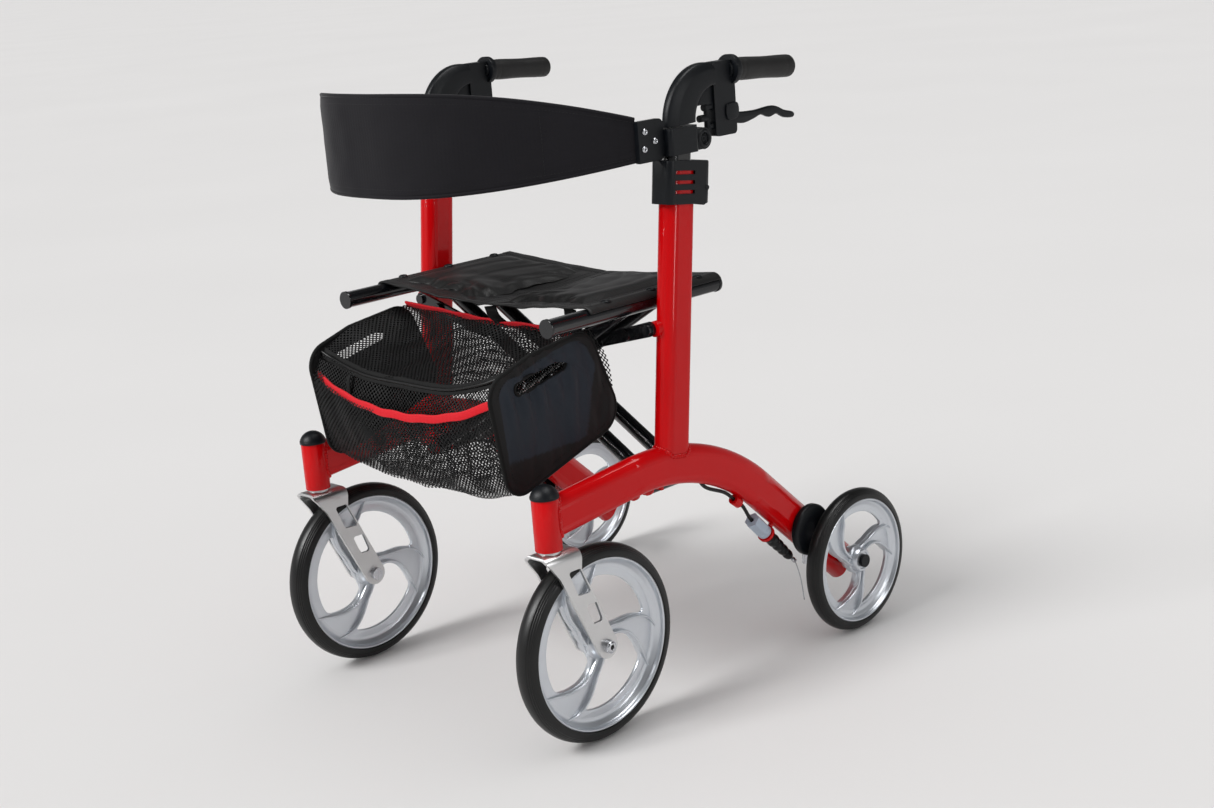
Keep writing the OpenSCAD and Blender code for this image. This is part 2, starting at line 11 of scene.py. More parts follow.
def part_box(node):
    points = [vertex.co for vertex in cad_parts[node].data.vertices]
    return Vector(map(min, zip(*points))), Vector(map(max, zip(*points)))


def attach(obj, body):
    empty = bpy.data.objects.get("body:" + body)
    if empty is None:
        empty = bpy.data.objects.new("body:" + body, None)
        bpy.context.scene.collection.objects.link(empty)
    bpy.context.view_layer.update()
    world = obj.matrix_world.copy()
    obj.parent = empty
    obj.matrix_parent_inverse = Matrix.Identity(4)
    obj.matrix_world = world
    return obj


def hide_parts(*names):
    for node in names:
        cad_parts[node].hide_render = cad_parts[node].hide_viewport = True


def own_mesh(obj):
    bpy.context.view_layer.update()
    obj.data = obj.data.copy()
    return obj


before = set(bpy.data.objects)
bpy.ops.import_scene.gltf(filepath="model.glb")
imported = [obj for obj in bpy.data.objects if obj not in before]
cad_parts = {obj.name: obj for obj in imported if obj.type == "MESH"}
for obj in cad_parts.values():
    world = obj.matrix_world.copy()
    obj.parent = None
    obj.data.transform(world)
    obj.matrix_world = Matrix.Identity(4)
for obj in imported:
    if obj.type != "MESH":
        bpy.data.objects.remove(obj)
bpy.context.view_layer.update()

MM = 0.001
FULL_TURN = 2 * math.pi
SIDES = (("left", 1), ("right", -1))


def box_mm(node):
    """Lowest and highest corner of a CAD node."""
    low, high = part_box(node)
    return np.array(low) / MM, np.array(high) / MM


def centre_mm(node):
    return sum(box_mm(node)) / 2


# ---------------------------------------------------------------- materials

# Every material by name
M = {}
# Distance between the holes of a net, in metres
NET_PITCH = 0.0046
# Short names of the shader's inputs
LEVELS = {"metal": "Metallic", "coat": "Coat Weight", "coat_rough": "Coat Roughness",
          "sheen": "Sheen Weight", "sheen_rough": "Sheen Roughness",
          "specular": "Specular IOR Level", "rough": "Roughness"}


class Look:
    """The nodes of a material or of the world, with short ways to add and join them."""

    def __init__(self, owner, shader="Principled BSDF"):
        owner.use_nodes = True
        self.tree = owner.node_tree
        self.shader = self.tree.nodes[shader]

    def join(self, source, target):
        self.tree.links.new(source, target)

    def add(self, kind, links=(), **values):
        """A new node. Values set its inputs, or its own settings where no input has the name."""
        node = self.tree.nodes.new(kind)
        for key, value in values.items():
            if key in node.inputs:
                node.inputs[key].default_value = value
            else:
                setattr(node, key, value)
        for source, target in links:
            self.join(source, node.inputs[target])
        return node

    def place(self):
        return self.add("ShaderNodeTexCoord").outputs["Object"]

    def cloth(self):
        """Places along the cloth, in metres."""
        return self.add("ShaderNodeUVMap", uv_map="cloth").outputs["UV"]

    def noise(self, place, scale, detail=2.0):
        links = [(place, "Vector")]
        return self.add("ShaderNodeTexNoise", links, Scale=scale, Detail=detail).outputs["Fac"]

    def mixed(self, factor, low, high):
        """A colour between low and high."""
        node = self.add("ShaderNodeMix", [(factor, "Factor")], data_type="RGBA",
                        A=(*low, 1), B=(*high, 1))
        return node.outputs["Result"]

    def ranged(self, factor, low, high):
        """A number between low and high."""
        ends = {"To Min": low, "To Max": high}
        return self.add("ShaderNodeMapRange", [(factor, "Value")], **ends).outputs["Result"]

    def dress(self, colour, rough, height, strength, distance, **levels):
        """Gives the shader a colour, a roughness (a number or a socket), a bump and levels."""
        bump = self.add("ShaderNodeBump", [(height, "Height")], Strength=strength,
                        Distance=distance)
        self.join(colour, self.shader.inputs["Base Color"])
        if isinstance(rough, float):
            levels["rough"] = rough
        else:
            self.join(rough, self.shader.inputs["Roughness"])
        self.join(bump.outputs["Normal"], self.shader.inputs["Normal"])
        self.set_levels(**levels)

    def set_levels(self, **levels):
        for key, value in levels.items():
            self.shader.inputs[LEVELS[key]].default_value = value


def new_look(name):
    M[name] = bpy.data.materials.new(name)
    return Look(M[name])


def finish(name, dark, light, rough, grain, depth, blotch=6.0, **levels):
    """A surface with blotches of colour and roughness, and a fine grain."""
    look = new_look(name)
    place = look.place()
    broad = look.noise(place, blotch, 4.0)
    look.dress(look.mixed(broad, dark, light), look.ranged(broad, *rough),
               look.noise(place, grain, 3.0), depth, 0.0005, coat_rough=0.06, **levels)


def woven(name, dark, light, thread, rough, depth, sheen, specular):
    """Cloth with crossing threads."""
    look = new_look(name)
    cloth = look.cloth()
    waves = [look.add("ShaderNodeTexWave", [(cloth, "Vector")], bands_direction=direction,
                      Scale=1 / (thread * 20), Distortion=0.6) for direction in ("X", "Y")]
    weave = look.add("ShaderNodeMath", [(wave.outputs["Fac"], k) for k, wave in enumerate(waves)],
                     operation="MULTIPLY")
    broad = look.noise(cloth, 9.0, 5.0)
    look.dress(look.mixed(broad, dark, light), look.ranged(broad, *rough), weave.outputs[0],
               depth, 0.0004, sheen=sheen, sheen_rough=0.35, specular=specular)


def net(name, hole, colour):
    """Net: round holes on a slanted grid. The size of a hole is a part of the pitch."""
    look = new_look(name)
    cloth = look.cloth()
    turned = look.add("ShaderNodeMapping", [(cloth, "Vector")], vector_type="TEXTURE",
                      Rotation=(0, 0, math.radians(45)))
    cells = look.add("ShaderNodeTexVoronoi", [(turned.outputs["Vector"], "Vector")],
                     voronoi_dimensions="2D", Scale=1 / NET_PITCH, Randomness=0.0)
    distance = cells.outputs["Distance"]
    is_hole = look.add("ShaderNodeMath", [(distance, 0)], operation="LESS_THAN")
    is_hole.inputs[1].default_value = hole
    clear = look.add("ShaderNodeBsdfTransparent")
    mix = look.add("ShaderNodeMixShader", [(is_hole.outputs[0], "Fac"),
                                           (look.shader.outputs[0], 1), (clear.outputs[0], 2)])
    look.join(mix.outputs[0], look.tree.nodes["Material Output"].inputs["Surface"])
    broad = look.noise(cloth, 12.0)
    look.dress(look.mixed(broad, colour, [c * 1.8 for c in colour]), 0.6, distance, 0.5, 0.0006,
               specular=0.25)


def panel_cloth(name):
    """Panel cloth: slate blue where the attribute patch is 1, black where it is 0."""
    look = new_look(name)
    cloth = look.cloth()
    patch = look.add("ShaderNodeAttribute", attribute_name="patch").outputs["Fac"]
    broad = look.noise(cloth, 14.0, 5.0)
    blue = look.mixed(broad, (0.006, 0.010, 0.017), (0.014, 0.021, 0.033))
    shade = look.add("ShaderNodeMix", [(patch, "Factor"), (blue, "B")], data_type="RGBA",
                     A=(0.002, 0.002, 0.0025, 1))
    weave = look.add("ShaderNodeTexWave", [(cloth, "Vector")], bands_direction="DIAGONAL",
                     Scale=55.0, Distortion=0.5)
    look.dress(shade.outputs["Result"], look.ranged(broad, 0.5, 0.68), weave.outputs["Fac"],
               0.2, 0.0004, sheen=0.05, specular=0.25)


def brushed(name, shade, rough, streak):
    """Grey metal with fine streaks along Z."""
    look = new_look(name)
    place = look.place()
    stretched = look.add("ShaderNodeMapping", [(place, "Vector")], Scale=(1, 1, streak))
    lines = look.noise(stretched.outputs["Vector"], 900.0)
    look.dress(look.mixed(look.noise(place, 30.0), [shade * 0.9] * 3, [shade] * 3),
               look.ranged(lines, rough - 0.06, rough + 0.08), lines, 0.12, 0.0003, metal=1.0)


def tyre_rubber(name):
    """Black rubber with dust in its pores."""
    look = new_look(name)
    place = look.place()
    dust = look.noise(place, 40.0, 6.0)
    look.dress(look.mixed(dust, [0.0025] * 3, [0.007] * 3), look.ranged(dust, 0.3, 0.45),
               look.noise(place, 1400.0), 0.25, 0.0003, specular=0.35)


def leather(name):
    """Grip rubber with a leather grain."""
    look = new_look(name)
    place = look.place()
    cells = look.add("ShaderNodeTexVoronoi", [(place, "Vector")], Scale=420.0,
                     feature="DISTANCE_TO_EDGE")
    broad = look.noise(place, 60.0)
    look.dress(look.mixed(broad, (0.004, 0.0035, 0.0035), (0.009, 0.008, 0.0075)),
               look.ranged(broad, 0.42, 0.6), cells.outputs["Distance"], 0.6, 0.0006,
               specular=0.35)


finish("frame_red", (0.50, 0.0, 0.001), (0.60, 0.0006, 0.003), (0.28, 0.38), 160.0, 0.05,
       coat=0.4, specular=0.04)
finish("black_tube", (0.003, 0.0035, 0.0045), (0.006, 0.0065, 0.008), (0.16, 0.26), 300.0, 0.05,
       coat=0.4, specular=0.3)
finish("black_plastic", (0.0025, 0.0035, 0.005), (0.005, 0.0065, 0.009), (0.34, 0.46), 1600.0,
       0.3, specular=0.22)
finish("rim_silver", (0.58, 0.61, 0.65), (0.70, 0.73, 0.77), (0.26, 0.34), 1800.0, 0.12,
       blotch=20.0, metal=0.75, coat=0.2)
finish("zinc", (0.5, 0.51, 0.54), (0.66, 0.67, 0.7), (0.2, 0.34), 900.0, 0.1, blotch=80.0,
       metal=1.0)
finish("cable_black", [0.004] * 3, [0.008] * 3, (0.3, 0.45), 900.0, 0.2, specular=0.3)
finish("adjuster_grey", (0.36, 0.42, 0.50), (0.44, 0.50, 0.59), (0.35, 0.5), 900.0, 0.2)
woven("seat_fabric", (0.006, 0.0055, 0.0055), (0.011, 0.0105, 0.010), 0.0009, (0.44, 0.58), 0.2,
      0.05, 0.3)
woven("bag_trim", (0.55, 0.002, 0.008), (0.72, 0.008, 0.02), 0.0012, (0.6, 0.75), 0.5, 0.15, 0.2)
woven("binding", [0.002] * 3, [0.005] * 3, 0.0012, (0.65, 0.8), 0.5, 0.05, 0.2)
woven("backrest_fabric", (0.008, 0.0075, 0.0095), (0.014, 0.013, 0.016), 0.0008, (0.75, 0.9),
      0.3, 0.2, 0.15)
woven("thread", (0.003, 0.003, 0.004), (0.005, 0.005, 0.006), 0.0012, (0.5, 0.6), 0.3, 0.05, 0.3)
net("bag_mesh_fabric", 0.43, (0.002, 0.002, 0.0022))
net("lid_net", 0.34, (0.0025, 0.0025, 0.0027))
panel_cloth("bag_panel_fabric")
brushed("fork_alloy", 0.66, 0.34, 0.05)
leather("grip_rubber")
tyre_rubber("tyre")


# ---------------------------------------------------------------- mesh tools

def unit(vector):
    vector = np.asarray(vector, float)
    return vector / np.linalg.norm(vector, axis=-1, keepdims=True)


def run_of(path):
    """Distance along a path, at each of its points."""
    return np.concatenate([[0], np.cumsum(np.linalg.norm(np.diff(path, axis=0), axis=1))])


def curve_through(points, steps, closed=False):
    """A Catmull-Rom curve through the points, with a number of steps between neighbours."""
    p = np.asarray(points, float)
    ends = (p[-1], p[:2]) if closed else (2 * p[0] - p[1], 2 * p[-1] - p[-2])
    padded = np.vstack([ends[0], p, ends[1]])
    a, b, c, d = (padded[k:len(padded) - 3 + k, None, :] for k in range(4))
    t = (np.arange(steps) / steps)[None, :, None]
    out = 0.5 * (2 * b + (c - a) * t + (2 * a - 5 * b + 4 * c - d) * t ** 2
                 + (3 * b - a - 3 * c + d) * t ** 3)
    out = out.reshape(-1, p.shape[1])
    return out if closed else np.vstack([out, p[-1]])


def even(path, count, closed=False):
    """The path cut into equal steps."""
    p = np.vstack([path, path[:1]]) if closed else np.asarray(path, float)
    run = run_of(p)
    at = np.linspace(0, run[-1], count, endpoint=not closed)
    return np.stack([np.interp(at, run, column) for column in p.T], 1)


def yz_path(points, x):
    """Flat (y, z) points as places at x."""
    points = np.asarray(points, float)
    return np.column_stack([np.full(len(points), float(x)), points])


def grid_of(u, v):
    """All pairs of u and v, as rows and columns."""
    return np.stack(np.meshgrid(u, v, indexing="ij"), -1)


def grid_faces(rows, columns, close_rows=False, close_columns=False):
    """Quads of a grid of vertices, wrapping round where it closes."""
    faces = []
    for i in range(rows if close_rows else rows - 1):
        for j in range(columns if close_columns else columns - 1):
            i2, j2 = (i + 1) % rows, (j + 1) % columns
            faces.append((i * columns + j, i * columns + j2, i2 * columns + j2, i2 * columns + j))
    return faces


def two_sided(faces, count, borders):
    """Faces on top, the same faces on the next points below, and walls along the borders."""
    faces = faces + [tuple(count + k for k in reversed(f)) for f in faces]
    for border in borders:
        for p, q in zip(border, border[1:] + border[:1]):
            faces.append((q, p, count + p, count + q))
    return faces


def slab_faces(rows, columns):
    """Faces of a closed slab: a grid of points on top and the same grid below."""
    grid = np.arange(rows * columns).reshape(rows, columns)
    border = np.concatenate([grid[0, :-1], grid[:-1, -1], grid[-1, :0:-1], grid[:0:-1, 0]])
    return two_sided(grid_faces(rows, columns), rows * columns, [border.tolist()])


def on_both_sides(*builders):
    for side, s in SIDES:
        for build in builders:
            build(side, s)


def place_object(name, data):
    """A new object in the scene."""
    holder = bpy.data.objects.new(name, data)
    bpy.context.scene.collection.objects.link(holder)
    return holder


def shape(name, points, faces, slot, body, stands_for=(), uv=None, patch=None, merge=True):
    """A piece from points in millimetres. uv is one place per point, in millimetres."""
    mesh = bpy.data.meshes.new(name)
    mesh.from_pydata((np.asarray(points, float) * MM).tolist(), [], faces)
    if uv is not None:
        layer = mesh.uv_layers.new(name="cloth")
        index = np.zeros(len(mesh.loops), int)
        mesh.loops.foreach_get("vertex_index", index)
        layer.data.foreach_set("uv", (np.asarray(uv, float)[index] * MM).ravel())
    if patch is not None:
        mesh.attributes.new("patch", "FLOAT", "POINT").data.foreach_set("value", patch)
    bm = bmesh.new()
    bm.from_mesh(mesh)
    if merge:
        bmesh.ops.remove_doubles(bm, verts=bm.verts, dist=1e-6)
    bmesh.ops.recalc_face_normals(bm, faces=bm.faces)
    bm.to_mesh(mesh)
    bm.free()
    mesh.materials.append(M[slot])
    mesh.polygons.foreach_set("use_smooth", [True] * len(mesh.polygons))
    piece = place_object(name, mesh)
    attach(piece, body)
    if stands_for:
        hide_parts(*stands_for)
    return piece


def sharpen(piece, degrees=40):
    """Smooth shading that keeps edges sharper than an angle."""
    limit = math.radians(degrees)
    bm = bmesh.new()
    bm.from_mesh(piece.data)
    for edge in bm.edges:
        edge.smooth = len(edge.link_faces) != 2 or edge.calc_face_angle() < limit
    bm.to_mesh(piece.data)
    bm.free()
    return piece


def lathe(name, centre, profile, slot, body, stands_for=(), segments=160, axis=(1, 0, 0)):
    """A closed profile of (radius, distance along the axis) turned about an axis."""
    profile = np.asarray(profile, float)
    along = unit(axis)
    side = unit(np.cross(along, (0.0, 0.3, 1.0)))
    turn = np.arange(segments) / segments * FULL_TURN
    ring = np.cos(turn)[:, None] * side + np.sin(turn)[:, None] * np.cross(along, side)
    points = (np.asarray(centre, float) + profile[None, :, :1] * ring[:, None, :]
              + profile[None, :, 1:] * along)
    faces = grid_faces(segments, len(profile), True, True)
    return shape(name, points.reshape(-1, 3), faces, slot, body, stands_for)


def there_and_back(half):
    """A profile of (radius, distance), then its mirror image at the other side of distance 0."""
    return list(half) + [(r, -x) for r, x in list(half)[::-1]]


def sweep_points(path, section, up=(0, 0, 1), closed=False, grow=1.0):
    """Points of a section of (across, above) places carried along a path and scaled by grow."""
    path = np.asarray(path, float)
    ahead = (np.roll(path, -1, 0) - np.roll(path, 1, 0)) if closed else np.gradient(path, axis=0)
    across = unit(np.cross(unit(ahead), np.broadcast_to(np.asarray(up, float), path.shape)))
    above = np.cross(across, unit(ahead))
    grow = np.asarray(grow, float)
    size = np.broadcast_to(grow if grow.ndim == 2 else grow[..., None], (len(path), 2))
    flat = np.asarray(section, float)[None] * size[:, None]
    return (path[:, None, :] + flat[..., :1] * across[:, None, :]
            + flat[..., 1:] * above[:, None, :])


def sweep(name, path, section, slot, body, up=(0, 0, 1), closed=False, grow=1.0,
          stands_for=()):
    """A closed section carried along a path, with flat ends unless the path is closed."""
    points = sweep_points(path, section, up, closed, grow)
    rows, columns = points.shape[:2]
    faces = grid_faces(rows, columns, closed, True)
    if not closed:
        faces += [tuple(range(columns)), tuple(range((rows - 1) * columns, rows * columns))]
    about = np.linspace(0, 1, columns) * np.ptp(section, axis=0).sum() * 2
    uv = grid_of(run_of(path), about).reshape(-1, 2)
    return shape(name, points.reshape(-1, 3), faces, slot, body, stands_for, uv=uv)


def polar(reach, angle):
    return np.stack([reach * np.cos(angle), reach * np.sin(angle)], -1)


def circle(radius, count, squeeze=1.0):
    return polar(radius, np.arange(count) / count * FULL_TURN) * (1, squeeze)


def round_box(width, height, radius, count=4):
    """A rectangle with round corners."""
    turn = np.linspace(0, math.pi / 2, count)
    reach = np.array([width / 2 - radius, height / 2 - radius])
    return np.vstack([polar(radius, turn + k * math.pi / 2) + reach * corner
                      for k, corner in enumerate(((1, 1), (-1, 1), (-1, -1), (1, -1)))])


def surface_normals(points):
    """Normals of a grid of points (rows, columns, 3)."""
    along, across = np.gradient(points, axis=0), np.gradient(points, axis=1)
    return unit(np.cross(along, across) + 1e-12)


def sheet(name, points, thickness, slot, body, stands_for=(), uv=None):
    """A closed thin solid on a grid of points (rows, columns, 3)."""
    rows, columns = points.shape[:2]
    half = surface_normals(points) * np.broadcast_to(thickness, (rows, columns))[..., None] / 2
    if uv is None:
        uv = grid_of(run_of(points[:, columns // 2]), run_of(points[rows // 2]))
    both = np.vstack([(points + half).reshape(-1, 3), (points - half).reshape(-1, 3)])
    uv = np.vstack([uv.reshape(-1, 2)] * 2)
    return shape(name, both, slab_faces(rows, columns), slot, body, stands_for, uv=uv,
                 merge=False)


def left_turn(a, b, c):
    """Positive where the way from a through b to c turns left."""
    return (b[0] - a[0]) * (c[1] - a[1]) - (b[1] - a[1]) * (c[0] - a[0])


def hull(points):
    """The convex outline of flat points, anticlockwise."""
    ordered = sorted(map(tuple, np.round(points, 4)))

    def half(items):
        out = []
        for p in items:
            while len(out) > 1 and left_turn(out[-2], out[-1], p) <= 0:
                out.pop()
            out.append(p)
        return out[:-1]

    return np.array(half(ordered) + half(ordered[::-1]))


def ripple(points, size, depth, seed):
    """Smooth noise of a given size and depth at points in millimetres."""
    flat = np.asarray(points, float).reshape(-1, 3) / size + seed * 17.3
    return depth * np.array([noise.noise(Vector(p)) for p in flat]).reshape(points.shape[:-1])


# ---------------------------------------------------------------- CAD nodes that stay

# The material of each node that stays visible, and the width of its rounded edges
NODE_FINISH = {
    "frame_red": {"side_frame": 0.8},
    "black_plastic": {"caster_cap": 0.6, "rear_axle": 0.8, "height_clamp": 2.0,
                      "height_lever": 1.2, "collar": 2.2, "brake_housing": 3.0,
                      "backrest_bracket": 0.8},
    "black_tube": {"height_tube": 0.4, "seat_rail": 0.8, "brace_link": 0.8, "brace_a": 0.6,
                   "brace_b": 0.6},
    "zinc": {"brake_arm": 0.5, "front_axle": 0.8, "brace_pivot": 0.6},
    "adjuster_grey": {"cable_adjuster": 0.9},
    "fork_alloy": {"caster_fork": 0.7},
}


def soften(piece, width):
    """Rounds the edges of a CAD node."""
    weld = piece.modifiers.new("weld", "WELD")
    weld.merge_threshold = 2e-5
    bevel = piece.modifiers.new("round", "BEVEL")
    bevel.limit_method = "ANGLE"
    bevel.angle_limit = math.radians(38)
    bevel.width = width * MM
    bevel.segments = 2
    bevel.use_clamp_overlap = True
    bevel.harden_normals = True


for finish_name, widths in NODE_FINISH.items():
    for node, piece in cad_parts.items():
        part = node.removeprefix("left_").removeprefix("right_")
        if part in widths:
            piece.data.materials.clear()
            piece.data.materials.append(M[finish_name])
            soften(piece, widths[part])


# ---------------------------------------------------------------- wheels

THIRD_TURN = FULL_TURN / 3
# Edges of the first spoke: (part of the rim's radius, angle in degrees)
SPOKE_EDGES = (
    ((0.18, 50), (0.25, 35), (0.35, 22), (0.45, 17), (0.6, 12), (0.75, 6), (0.85, 0),
     (0.97, -10)),
    ((0.18, 16), (0.25, 10), (0.35, 5), (0.47, -3), (0.6, -14), (0.75, -26), (0.88, -33),
     (0.97, -37)),
)
OPENING_REACH = 0.775


def tyre(side, place):
    """A tyre with a round crown and grooves on both shoulders."""
    node = f"{side}_{place}_tyre"
    low, high = box_mm(node)
    radius, width = (high[2] - low[2]) / 2, high[0] - low[0]
    seat = radius * (0.874 if place == "front" else 0.867)
    turn = np.linspace(0, math.pi, 97)
    across = np.sign(np.cos(turn)) * np.abs(np.cos(turn)) ** 0.95 * width / 2
    height = (radius - seat) * np.abs(np.sin(turn)) ** 0.85
    for groove in (0.2, 0.26, 0.32):
        for centre in (groove, 1 - groove):
            height -= 0.9 * np.exp(-((turn / math.pi - centre) / 0.012) ** 2)
    profile = np.stack([seat + np.maximum(height, 0), across], 1)
    lathe(node + "_rubber", centre_mm(node), profile, "tyre", f"{side}_{place}_wheel", (node,))


def rim_ring(radius, width):
    """Section of the deep lip of a rim, as (radius, across)."""
    curve = [(radius - 1.2, width / 2 + 0.8), (radius - 2.6, width / 2 + 0.5),
             (radius - 3.4, width / 2 - 1.0), (radius - 4.6, width / 2 - 4.5),
             (radius - 7, width * 0.24), (radius - 10.5, 3.4), (radius - 15, 2.7)]
    return there_and_back([(radius, width / 2), *curve_through(curve, 4)])


def spoke_angle(edge, reach):
    """Angle of an edge of a spoke at a distance from the hub, as a part of the rim's radius."""
    smooth = curve_through(edge, 8)
    return np.radians(np.interp(reach, smooth[:, 0], smooth[:, 1]))


def opening(radius, turned):
    """Outline of one kidney opening between two spokes, with round corners."""
    reaches = np.linspace(0.25, OPENING_REACH, 26)
    first = spoke_angle(SPOKE_EDGES[0], reaches) + 0.03 / reaches
    last = spoke_angle(SPOKE_EDGES[1], reaches) + THIRD_TURN - 0.03 / reaches
    outer = np.linspace(first[-1], last[-1], 24)[1:-1]
    ring = np.vstack([polar(reaches, first), polar(OPENING_REACH, outer),
                      polar(reaches, last)[::-1]])
    ring = even(ring * radius, 120, closed=True)
    window = range(-4, 5)
    ring = sum(np.roll(ring, k, 0) for k in window) / len(window)
    c, s = math.cos(turned), math.sin(turned)
    return ring @ np.array([[c, s], [-s, c]])


def plate(name, outlines, thickness, edge, slot, body, x, stands_for=()):
    """A plate in the YZ plane from its outline and holes, with rounded edges, centred at x."""
    data = bpy.data.curves.new(name, "CURVE")
    data.dimensions = "2D"
    data.fill_mode = "BOTH"
    data.extrude = (thickness / 2 - edge) * MM
    data.bevel_depth = edge * MM
    data.bevel_resolution = 2
    data.offset = -edge * MM
    for outline in outlines:
        spline = data.splines.new("POLY")
        spline.points.add(len(outline) - 1)
        flat = np.pad(np.asarray(outline) * MM, ((0, 0), (0, 2)))
        flat[:, 3] = 1
        spline.points.foreach_set("co", flat.ravel())
        spline.use_cyclic_u = True
    holder = place_object(name + "_curve", data)
    bpy.context.view_layer.update()
    graph = bpy.context.evaluated_depsgraph_get()
    mesh = bpy.data.meshes.new_from_object(holder.evaluated_get(graph))
    bpy.data.objects.remove(holder)
    y, z, over = (np.array([v.co for v in mesh.vertices]) / MM).T
    faces = [tuple(p.vertices) for p in mesh.polygons]
    return sharpen(shape(name, np.stack([over + x, y, z], 1), faces, slot, body, stands_for))


def join(pieces):
    """Puts the meshes of several pieces into the first one."""
    bm = bmesh.new()
    for piece in pieces:
        bm.from_mesh(piece.data)
    bm.to_mesh(pieces[0].data)
    bm.free()
    for piece in pieces[1:]:
        bpy.data.objects.remove(piece)
    return pieces[0]


def rim(side, place, phase):
    """A rim: lip, web with three openings, ribs along the spokes and a hub."""
    name, body = f"{side}_{place}_rim", f"{side}_{place}_wheel"
    tyre_low, tyre_high = box_mm(f"{side}_{place}_tyre")
    low, high = box_mm(name)
    centre = (tyre_low + tyre_high) / 2
    radius, hub_half = (high[2] - low[2]) / 2, (high[0] - low[0]) / 2
    width = tyre_high[0] - tyre_low[0] - (5 if place == "front" else 2)
    silver = ("rim_silver", body)
    turns = [phase + k * THIRD_TURN for k in range(3)]
    disc = circle(1, 144)
    outlines = [disc * (radius - 11), disc * 6.2] + [opening(radius, turn) for turn in turns]
    parts = [lathe(name + "_shell", centre, rim_ring(radius, width), *silver, (name,)),
             plate(name + "_web", [o + centre[1:] for o in outlines], 5.0, 1.0,
                   *silver, centre[0])]
    reaches = np.linspace(0.19, 0.94, 40)
    fade = np.clip((0.97 - reaches) / 0.22, 0.3, 1)
    grow = np.stack([0.55 + 0.45 * fade, 0.5 + 0.5 * fade], 1)
    for k, turn in enumerate(turns):
        for e, edge in enumerate(SPOKE_EDGES):
            flat = centre[1:] + radius * polar(reaches, spoke_angle(edge, reaches) + turn)
            parts.append(sweep(f"{name}_rib{k}{e}", yz_path(flat, centre[0]),
                               round_box(3.8, 15.5, 1.8), *silver, up=(1, 0, 0),
                               grow=grow))
    hub = [(5.2, 1.4 - hub_half), (11.4, 1.4 - hub_half), (12.2, -hub_half), (14.5, -hub_half),
           (16.5, 2 - hub_half), (17.5, -5.5), (19, -4.8), (20, -3.4)]
    hub_at = ((high[0] + low[0]) / 2, *centre[1:])
    parts.append(sharpen(lathe(name + "_hub", hub_at, there_and_back(hub), *silver,
                               segments=72)))
    sharpen(join(parts))


def axle_bolt(side, s):
    """Domed head with a deep recess on the outer end of the front axle. A black hexagon in the
    recess is painted shade.
    """
    low, high = box_mm(f"{side}_front_axle")
    at = (high[0] if s > 0 else low[0], *((low + high) / 2)[1:])
    head = [(0.01, -2.2), (2.6, -2.2), (2.9, 1.2), (3.8, 2.2), (5.6, 1.8), (7.2, 0.4),
            (7.6, -1.5), (0.01, -2.6)]
    # A black hexagon that nearly fills the recess: painted shade inside the bolt's socket
    recess = [(0.01, 1.4), (2.7, 1.4), (2.9, -2.0), (0.01, -2.0)]
    for end, profile, slot, segments in (("", head, "zinc", 48),
                                         ("_painted_recess_shade", recess, "cable_black", 6)):
        lathe(f"{side}_front_bolt{end}", at, profile, slot, f"{side}_caster",
              segments=segments, axis=(s, 0, 0))


def wheels(side, s):
    axle_bolt(side, s)
    for place, phase in (("front", 0.0), ("rear", math.radians(23))):
        rim(side, place, phase)
        tyre(side, place)


on_both_sides(wheels)


# ---------------------------------------------------------------- measures taken from the frame

SIDE_X = centre_mm("left_grip")[0]
RAIL_X, _, RAIL_Z = centre_mm("left_seat_rail")
RAIL_LOW, RAIL_HIGH = box_mm("left_seat_rail")
RAIL_R = (RAIL_HIGH[0] - RAIL_LOW[0]) / 2
PANEL_X = centre_mm("left_bag_panel")[0]


# ---------------------------------------------------------------- handles

# Arcs of the neck's edges: (y and z of the centre, radius)
NECK_OUTER = (35.0, 741.0, 72.0)
NECK_INNER = (49.5, 743.0, 41.0)
# Half thickness of the neck from its inner to its outer edge
NECK_SECTION = ((0, 8.5), (0.02, 10.6), (0.07, 11.8), (0.14, 12), (0.66, 12), (0.74, 11.4),
                (0.9, 7.4), (0.96, 6.2), (1, 4.6))
NECK_ROWS = 36
GRIP_START = (91.0, 799.0)
GRIP_FALL = math.radians(3.6)
GRIP_LENGTH = 112.0
LEVER_PIN = (84, 741)
SOCKET = (21, 721)
RIVETS = ((-77, 741), (-60, 728), (-79, 720))


def neck(side, s):
    """Curved neck: a horn with a wide bevel along its outer edge."""
    node = f"{side}_handle_neck"
    end = box_mm(node)[1][1]
    section = [(f, -g) for f, g in NECK_SECTION] + [(f, g) for f, g in NECK_SECTION[::-1]]
    points = []
    for t in np.linspace(0, 1, NECK_ROWS):
        ends = []
        for y, z, r in (NECK_INNER, NECK_OUTER):
            a = math.pi + t * (math.acos((end - y) / r) - math.pi)
            ends.append(np.array([y + r * math.cos(a), z + r * math.sin(a)]))
        points += [(s * (SIDE_X + g), *(ends[0] + (ends[1] - ends[0]) * f)) for f, g in section]
    count = len(section)
    faces = grid_faces(NECK_ROWS, count, False, True)
    faces += [tuple(range(count)), tuple(range(len(points) - count, len(points)))]
    sharpen(shape(f"{side}_neck_cover", points, faces, "black_plastic", f"{side}_handle",
                  (node,)), 50)


